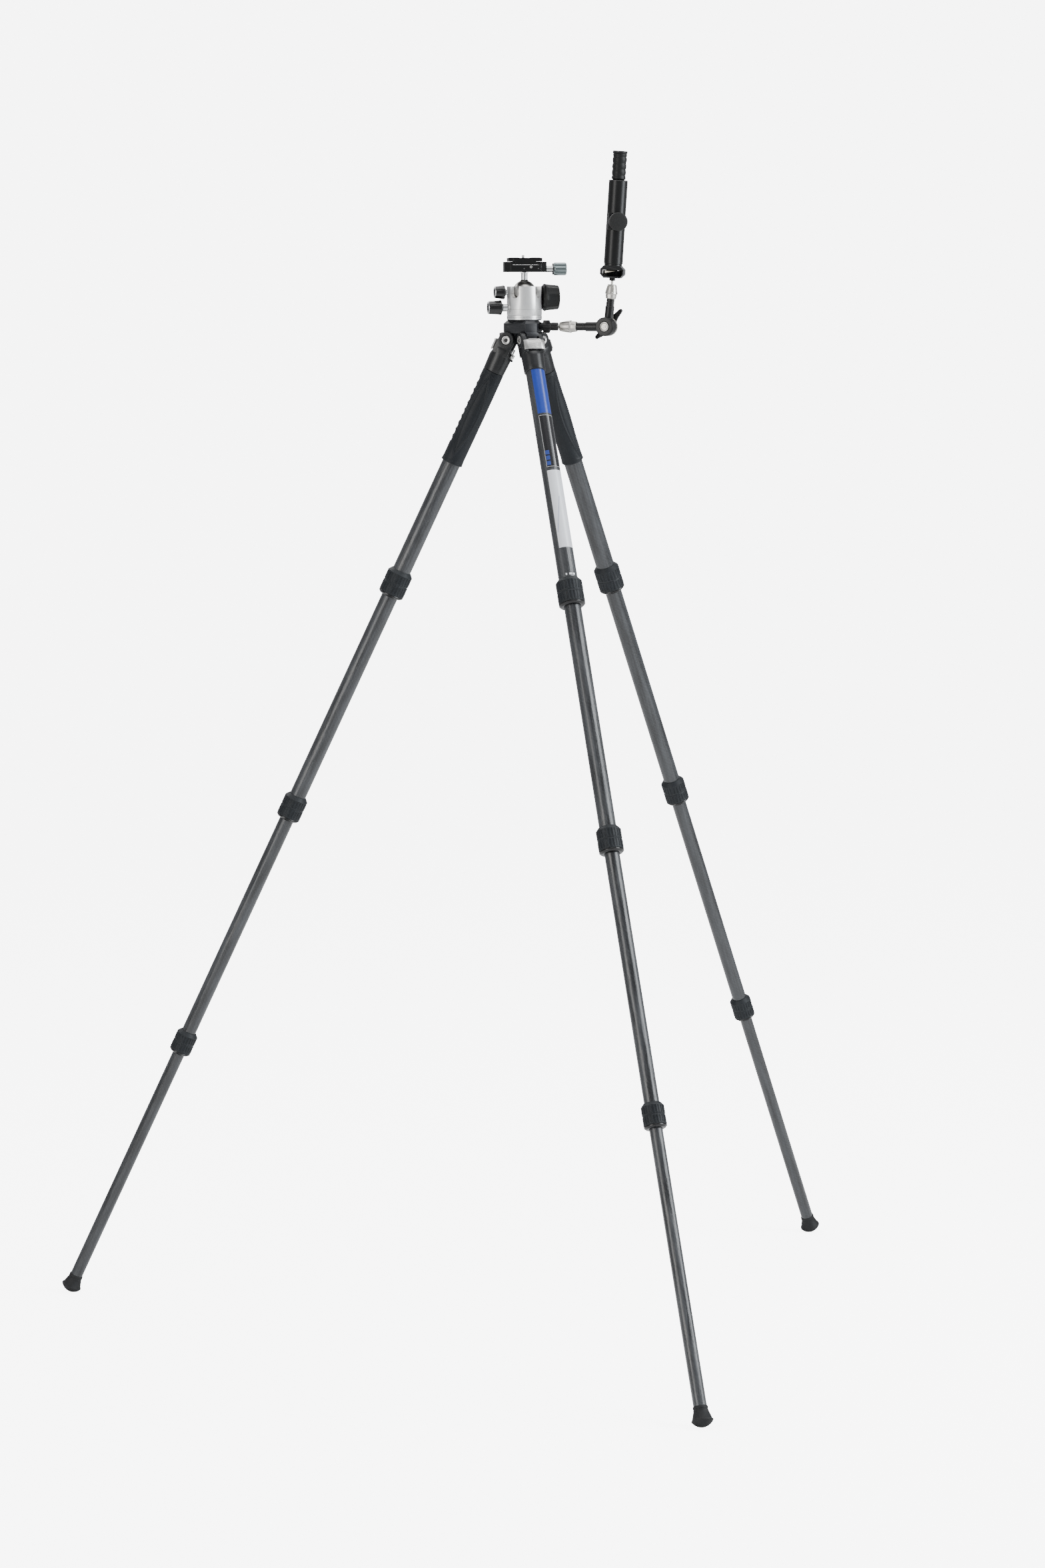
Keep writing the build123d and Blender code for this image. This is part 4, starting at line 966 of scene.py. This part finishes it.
# ---- The camera plate -------------------------------------------------------------------------
# A dovetail plate, milled and anodised black like the clamp, with two ribbed rubber strips on top,
# an anti-twist pin at its rear edge and a captive camera screw.
PLATE_TOP = 1605.1
plate = copy_of("quick_plate", CLAMP)
soften(plate, list(plate.verts), 7.0, 1, 60,
       only=lambda e: e.verts[0].co.x < -24 and e.verts[1].co.x < -24 and e.calc_length() < 8)
soften(plate, list(plate.verts), 0.4, 2, 30)
finished(plate, "camera_plate", CLAMP, "plate", [anodised_black], ["quick_plate"])
strips = bmesh.new()
for side in (-1, 1):
    x0, x1 = sorted((side * 9.5, side * 22.5))
    verts = bar(strips, (x0, -17.5, PLATE_TOP - 0.3), (x1, 13.5, PLATE_TOP + 0.35))
    soften(strips, verts, 0.25, 2)
    for i in range(12):
        y = -16.0 + 2.5 * i
        rib = bar(strips, (x0 + 1, y - 0.5, PLATE_TOP), (x1 - 1, y + 0.5, PLATE_TOP + 0.6))
        soften(strips, rib, 0.2, 1)
finished(strips, "plate_rubber_strips", CLAMP, "plate", [knob_rubber])
screw = bmesh.new()
thread = [(3.1 - 0.3 * (i % 2), 1598.6 + 0.32 * i) for i in range(19)]
turn(screw, [(0, 1595.2), (1.0, 1595.2), (1.0, 1595.9), (6.1, 1595.9), (6.5, 1596.2), (6.5, 1597.7), (3.1, 1597.7), *thread,
             (2.4, 1604.7), (0, 1604.7)], 48)
finished(screw, "quarter_inch_screw", CLAMP, "camera_screw", [steel], ["camera_screw"])
tip = bmesh.new()
verts = turn(tip, [(1.92, PLATE_TOP - 0.5), (1.95, 1608.9), (1.5, 1609.35), (0, 1609.35), (0, PLATE_TOP - 0.5)], 32)
move(tip, verts, Matrix.Translation((0, 17.0, 0)))
finished(tip, "anti_twist_pin_cap", CLAMP, "plate", [steel])

# ---- The arm's stub and lower ball joint ------------------------------------------------------
# The arm screws into a port of the apex. Its black stub has a square anti-twist block with bright
# edges and ends in a ball, which a slotted nickel-plated collet squeezes.
port_ball = Vector(joints["arm_swing"]["pos_m"])
port_line = Vector((port_ball.x - apex_axis.x, port_ball.y - apex_axis.y, 0)).normalized()
STUB = at((apex_axis.x, apex_axis.y, port_ball.z), (0, 0, -1), port_line)
ARM = at(port_ball, (0, 0, -1), joints["arm_roll"]["axis"])
nickel = finish("nickel_plate", ARM, (0.6, 0.58, 0.54), 0.34, edge=(0.88, 0.86, 0.82), edge_width=0.0005, metallic=1.0,
                grain=2.0, bump=0.06, mottle=0.08)
rod_black = finish("rod_black", ARM, (0.006, 0.006, 0.0065), 0.36, edge=(0.05, 0.05, 0.05), edge_width=0.0005,
                   metallic=0.3, grain=3.0, bump=0.08, mottle=0.1)
stub = bmesh.new()
turn(stub, [(0, 15), (4.6, 15), (4.6, 23), (5.7, 23), (6.1, 23.4), (6.1, 40), (5.7, 40.4), (5.7, 41.2), (6.1, 41.6),
            (6.1, 50.6), (5.4, 51.3), (2.4, 51.6), (2.4, 56.5), *arc(0, 62, 6.5, -66, 90, 16)[1:]], 64)
paint(stub, 1, lambda radius, z: z > 51.5)
block_verts = bar(stub, (-9.1, -5, 29), (9.1, 5, 38.4))
soften(stub, block_verts, 0.9, 2)
for side in (-1, 1):
    x0, x1 = sorted((side * 9.0, side * 9.6))
    pad = bar(stub, (x0, -4.2, 30.0), (x1, 4.2, 37.4))
    for face in {f for v in pad for f in v.link_faces}:
        face.material_index = 1
finished(stub, "arm_stub", STUB, "apex", [rod_black, nickel], ["arm_base"])


def slotted_collet(widest, end, mouth=8.3):
    """A collet on Z, its mouth downwards: a short cone, a long cone and six slots."""
    bm = bmesh.new()
    outline = [(5.2, -3.0), (5.75, -mouth), (6.0, -mouth), (6.4, -mouth + 0.4), (7.2, -5.2), (8.0, -1.5), (8.7, 2.5),
               (9.2, widest - 0.6), (9.35, widest), (9.2, widest + 0.7), (8.4, widest + 1.0), (8.2, widest + 1.6),
               (8.3, widest + 3), (7.6, end - 0.6), (7.0, end), (4.4, end), (4.4, end - 1.5)]
    verts = turn(bm, outline, 144, closed=True)

    def slots(radius, angle, height):
        gap = max(0.0, cos(6 * angle)) ** 18
        open_part = min(1.0, max(0.0, (widest - 1.5 - height) / 2.0))
        lobes = 0.35 * (0.5 + 0.5 * cos(6 * angle + pi)) if height > widest else 0.0
        return radius - 1.3 * gap * open_part - lobes if radius > 5.5 else radius

    reshape(verts, slots)
    return bm


finished(slotted_collet(9.0, 18.5), "lower_slotted_collet", ARM, "lower_collet", [nickel],
         ["lower_collet"], sharp=30)

# ---- The elbow --------------------------------------------------------------------------------
# Two black rods meet in a friction elbow: a stack of discs on one bolt, with a pin nut in front
# and a two-winged lever behind. The rods step up in thickness towards it.
elbow = Vector(joints["elbow"]["pos_m"])
arm_line = Vector(joints["arm_roll"]["axis"])
elbow_line = Vector(joints["elbow"]["axis"])
ELBOW = at(elbow, arm_line, elbow_line)
ELBOW_R = 14.1
lower_end = (elbow - port_ball).dot(arm_line) * 1000


def stepped_rod(bm, start, step, end, thin, thick):
    """A rod on Z: a spigot, a thin part with a groove, a thick part."""
    return turn(bm, [(0, start - 9), (4.9, start - 9), (4.9, start), (thin - 0.4, start), (thin, start + 0.4),
                     (thin, step - 4), (thin - 0.3, step - 3.7), (thin - 0.3, step - 3.2), (thin, step - 2.9), (thin, step),
                     (thick - 0.5, step), (thick, step + 0.5), (thick, end), (0, end)], 64)


lower = bmesh.new()
verts = stepped_rod(lower, 18.9, 33.0, lower_end - 12, 6.0, 7.0)
move(lower, verts, ELBOW.inverted() @ ARM)
disc = [(4.05, -0.25), (13.4, -0.25), (ELBOW_R, -0.9), (ELBOW_R, -8.4), (13.7, -8.7), (13.7, -9.2), (ELBOW_R, -9.5),
        (ELBOW_R, -12.2), *arc(13.1, -12.1, 0.95, 0, -90, 4), (8.2, -13.05), (7.6, -12.4), (4.05, -12.4)]
turn(lower, disc, 96, closed=True)
finished(lower, "lower_arm_rod", ELBOW, "lower_arm", [rod_black], ["lower_rod"])
bolt = bmesh.new()
nut = [(0, -13.4), (4.4, -13.4), (4.9, -14.2), (6.2, -14.6), (6.9, -14.0), (7.0, -13.0), (7.0, -12.5), (4.0, -12.5), (4.0, 14.8),
       (3.4, 15.2), (0, 15.2)]
turn(bolt, nut, 64)
turn(bolt, [(0, -14.7), (2.2, -14.7), (2.5, -14.4), (2.5, -13.3), (0, -13.3)], 32)
# The three spanner holes are small black discs: painted shade in the holes.
for i in range(3):
    hole = turn(bolt, [(0, -14.75), (0.5, -14.75), (0.5, -13.3), (0, -13.3)], 16)
    move(bolt, hole, Matrix.Rotation(radians(120 * i), 4, "Z") @ Matrix.Translation((1.3, 0, 0)))
    for face in {f for v in hole for f in v.link_faces}:
        face.material_index = 1
finished(bolt, "elbow_pin_nut", ELBOW, "lower_arm", [nickel, rod_black], ["elbow_bolt"])

upper_line = Vector(joints["upper_arm_roll"]["axis"])
upper_ball = Vector(joints["upper_arm_roll"]["pos_m"])
UPPER = at(upper_ball, arm_line, -upper_line)
upper_reach = (upper_ball - elbow).dot(upper_line) * 1000
upper = bmesh.new()
verts = turn(upper, [(0, 7.5), (4.9, 7.5), (4.9, 13.3), (5.6, 13.3), (6.0, 13.7), (6.0, 17), (5.7, 17.3), (5.7, 17.8), (6.0, 18.1),
                     (6.0, 24), (6.3, 24), (6.7, 24.4), (6.7, upper_reach - 12), (0, upper_reach - 12)], 64)
move(upper, verts, ELBOW.inverted() @ UPPER)
turn(upper, [(4.1, -4.3 + 4.5), (13.0, 0.2), (13.8, 0.6), (13.8, 3.0), (13.2, 3.4), (13.2, 4.0), (13.9, 4.4), (13.9, 6.4),
             (13.3, 6.8), (13.3, 7.4), (13.8, 7.8), (13.8, 8.5), (13.0, 8.9), (4.1, 8.9)], 96, closed=True)
paint(upper, 1, lambda radius, z: radius > 12.8 and (3.0 < z < 4.3 or 6.5 < z < 7.7))
finished(upper, "upper_arm_rod", ELBOW, "upper_arm", [rod_black, nickel], ["upper_rod"])
finished(slotted_collet(5.0, 13.0), "upper_slotted_collet", UPPER, "upper_collet", [nickel],
         ["upper_collet"], sharp=30)

# ---- The wing lever ---------------------------------------------------------------------------
# A die-cast lever with two curved wings and a round hub, sprayed black. Its long edges are
# polished through to the metal.
lever_black = finish("lever_black", ELBOW, (0.006, 0.006, 0.0065), 0.26, edge=(0.62, 0.61, 0.59), edge_width=0.0008,
                     metallic=0.4, grain=2.5, bump=0.06, mottle=0.1, coat=0.2)
BLADE = [(4, -5.6), (12, -6.2), (19, -5.6), (25.5, -4.2), *arc(27.4, -1.2, 2.9, -80, 80, 8), (25, 2.2), (17, 2.8),
         (10, 4.4), (4, 6.0)]
wing = bmesh.new()
turn(wing, [(4.1, 9.4), (8.6, 9.4), (9.0, 9.8), (9.0, 15.0), (7.8, 16.8), (6.2, 17.0), (4.1, 17.0)], 64, closed=True)
for side in (-9, 193):
    before = set(wing.verts)
    soften(wing, prism(wing, BLADE, 11.6, 16.2), 0.9, 3, 25)
    blade = [v for v in wing.verts if v not in before]
    for vert in blade:
        vert.co.z += 0.012 * max(0.0, vert.co.x - 8) ** 2
    move(wing, blade, Matrix.Rotation(radians(side), 4, "Z"))
move(wing, list(wing.verts), Matrix.Rotation(radians(-46), 4, "Z"))
finished(wing, "elbow_wing_lever", ELBOW, "wing_lever", [lever_black], ["wing_lever"], sharp=30)

# ---- The holder -------------------------------------------------------------------------------
# The clamp on the arm's end: a plated ball and stud, an eight-sided gloss black block whose slot
# holds a spring strip between two brackets, and a satin tube with a knob and a ribbed grip.
HOLDER = at(upper_ball, joints["holder_knob_turn"]["axis"], joints["grip_slide"]["axis"])
BLOCK_LOW, BLOCK_HEIGHT, BLOCK_FRONT = 17.8, 18.6, 13.0
SLOT_MIDDLE = BLOCK_LOW + 7.7
BLOCK_FRAME = HOLDER @ Matrix.Rotation(radians(-17.5), 4, "Z")
TUBE_TOP = BLOCK_LOW + BLOCK_HEIGHT + 126.0
stud = bmesh.new()
turn(stud, [*arc(0, 0, 6.5, -90, 70, 18), (1.9, 6.8), (1.9, 13.6), (4.0, 13.9), (4.4, 14.4), (4.4, 17.2), (4.1, 17.7),
            (3.1, 17.8), (3.1, 22.6), (0, 22.6)], 48)
paint(stud, 1, lambda radius, z: 13.5 < z < 17.75 and radius > 1.95)
finished(stud, "holder_ball_stud", HOLDER, "holder", [nickel, rod_black], ["end_ball"])

gloss_cast = finish("gloss_cast", HOLDER, (0.005, 0.005, 0.0055), 0.18, edge=(0.06, 0.06, 0.064), edge_width=0.0005,
                    grain=2.5, bump=0.05, mottle=0.1, coat=0.5)
block = copy_of("holder_block", BLOCK_FRAME)
soften(block, list(block.verts), 0.9, 3, 30)
finished(block, "holder_octagon", BLOCK_FRAME, "holder", [gloss_cast], ["holder_block"])

champagne = finish("champagne_strip", HOLDER, (0.66, 0.6, 0.5), 0.26, edge=(0.9, 0.86, 0.78), edge_width=0.0004,
                   metallic=0.9, grain=2.0, bump=0.08, mottle=0.05)
white_bracket = finish("white_bracket", HOLDER, (0.8, 0.79, 0.77), 0.3, metallic=0.5, grain=3.0, bump=0.05, mottle=0.04)
strip = bmesh.new()
slot_floor = BLOCK_FRONT - 7.9
verts = bar(strip, (slot_floor, -10.6, SLOT_MIDDLE - 3.3), (slot_floor + 5.2, 10.6, SLOT_MIDDLE + 3.3))
soften(strip, verts, 1.0, 3)
for side in (-1, 1):
    hole = turn(strip, [(0, 5.0), (0.95, 5.0), (0.95, 5.28), (0.65, 5.28), (0.65, 5.1), (0, 5.1)], 20)
    move(strip, hole, Matrix.Translation((slot_floor, side * 7.0, SLOT_MIDDLE)) @ Matrix.Rotation(radians(90), 4, "Y"))
    for face in {f for v in hole for f in v.link_faces}:
        face.material_index = 2
    out = side * 14.1
    for rail in ((-4.5, -3.4), (3.4, 4.5)):
        y0, y1 = sorted((out, side * 8.6))
        arm = bar(strip, (slot_floor + 1, y0, SLOT_MIDDLE + rail[0]), (slot_floor + 6.6, y1, SLOT_MIDDLE + rail[1]))
        soften(strip, arm, 0.3, 2)
        for face in {f for v in arm if v.is_valid for f in v.link_faces}:
            face.material_index = 1
    y0, y1 = sorted((out, out - side * 1.3))
    back = bar(strip, (slot_floor + 1, y0, SLOT_MIDDLE - 4.5), (slot_floor + 6.6, y1, SLOT_MIDDLE + 4.5))
    for face in {f for v in back for f in v.link_faces}:
        face.material_index = 1
for face in strip.faces:
    middle = face.calc_center_median()
    if abs(middle.z - SLOT_MIDDLE) > 3.35 or abs(middle.y) > 12.6:
        face.material_index = 1
finished(strip, "holder_spring_strip", BLOCK_FRAME, "holder", [champagne, white_bracket, rod_black],
         ["holder_strip"])

tube_satin = finish("tube_satin", HOLDER, (0.013, 0.013, 0.0135), 0.32, edge=(0.1, 0.1, 0.1), edge_width=0.0004,
                    metallic=0.5, grain=4.0, bump=0.05, mottle=0.05)
tube = bmesh.new()
low = BLOCK_LOW + BLOCK_HEIGHT
turn(tube, [(0, low), (13.2, low), (13.2, low + 2.2), (13.6, low + 2.6), (14, low + 3.0), (14, TUBE_TOP - 0.8), (13.2, TUBE_TOP),
            (11.9, TUBE_TOP), (11.3, TUBE_TOP - 0.6), (11.3, low + 30), (0, low + 30)], 96)
boss = turn(tube, [(3.2, 9), (10, 9), (10, 15.5), (9.5, 16), (3.2, 16)], 64, closed=True)
KNOB_HEIGHT = 101.5
move(tube, boss, Matrix.Translation((0, 0, KNOB_HEIGHT)) @ Matrix.Rotation(radians(90), 4, "Y"))
pad = bar(tube, (8, -13.6, KNOB_HEIGHT - 12.5), (14.6, -8.5, KNOB_HEIGHT + 12.5))
soften(tube, pad, 0.6, 2)
finished(tube, "holder_barrel", HOLDER, "holder", [tube_satin], ["holder_tube"])

knob = bmesh.new()
turn(knob, [(0, 11.6), (2.95, 11.6), (2.95, 16.4), (12.6, 16.4), (13.5, 16.9), (13.75, 17.6), (13.75, 25.4),
            *arc(12.6, 25.6, 1.15, 0, 80, 5), (11.0, 27.0), (0, 27.1)], 96)
flat_black = finish("flat_black", HOLDER, (0.005, 0.005, 0.005), 0.5, edge=(0.03, 0.03, 0.03), edge_width=0.0005,
                    grain=4.0, bump=0.1, mottle=0.1)
knob_place = HOLDER @ Matrix.Translation((0, 0, KNOB_HEIGHT)) @ Matrix.Rotation(radians(90), 4, "Y")
finished(knob, "holder_round_knob", knob_place, "holder_knob", [flat_black], ["holder_knob"])

grip = bmesh.new()
ribs = [(9.7 + 0.85 * abs(sin(pi * (i + 4) / 8)) ** 0.8, TUBE_TOP + 2 + i * 1.15) for i in range(32)]
outline = [(0, TUBE_TOP - 34), (8.9, TUBE_TOP - 34), (8.9, TUBE_TOP + 0.6), (9.6, TUBE_TOP + 1.2), *ribs, (9.9, TUBE_TOP + 38.7),
           (10.7, TUBE_TOP + 39.3), (10.9, TUBE_TOP + 39.9), (10.9, TUBE_TOP + 42.1), (10.4, TUBE_TOP + 42.9), (0, TUBE_TOP + 43.0)]
turn(grip, outline, 72)
finished(grip, "holder_ribbed_grip", HOLDER, "holder_grip", [knob_rubber], ["holder_grip"], sharp=50)
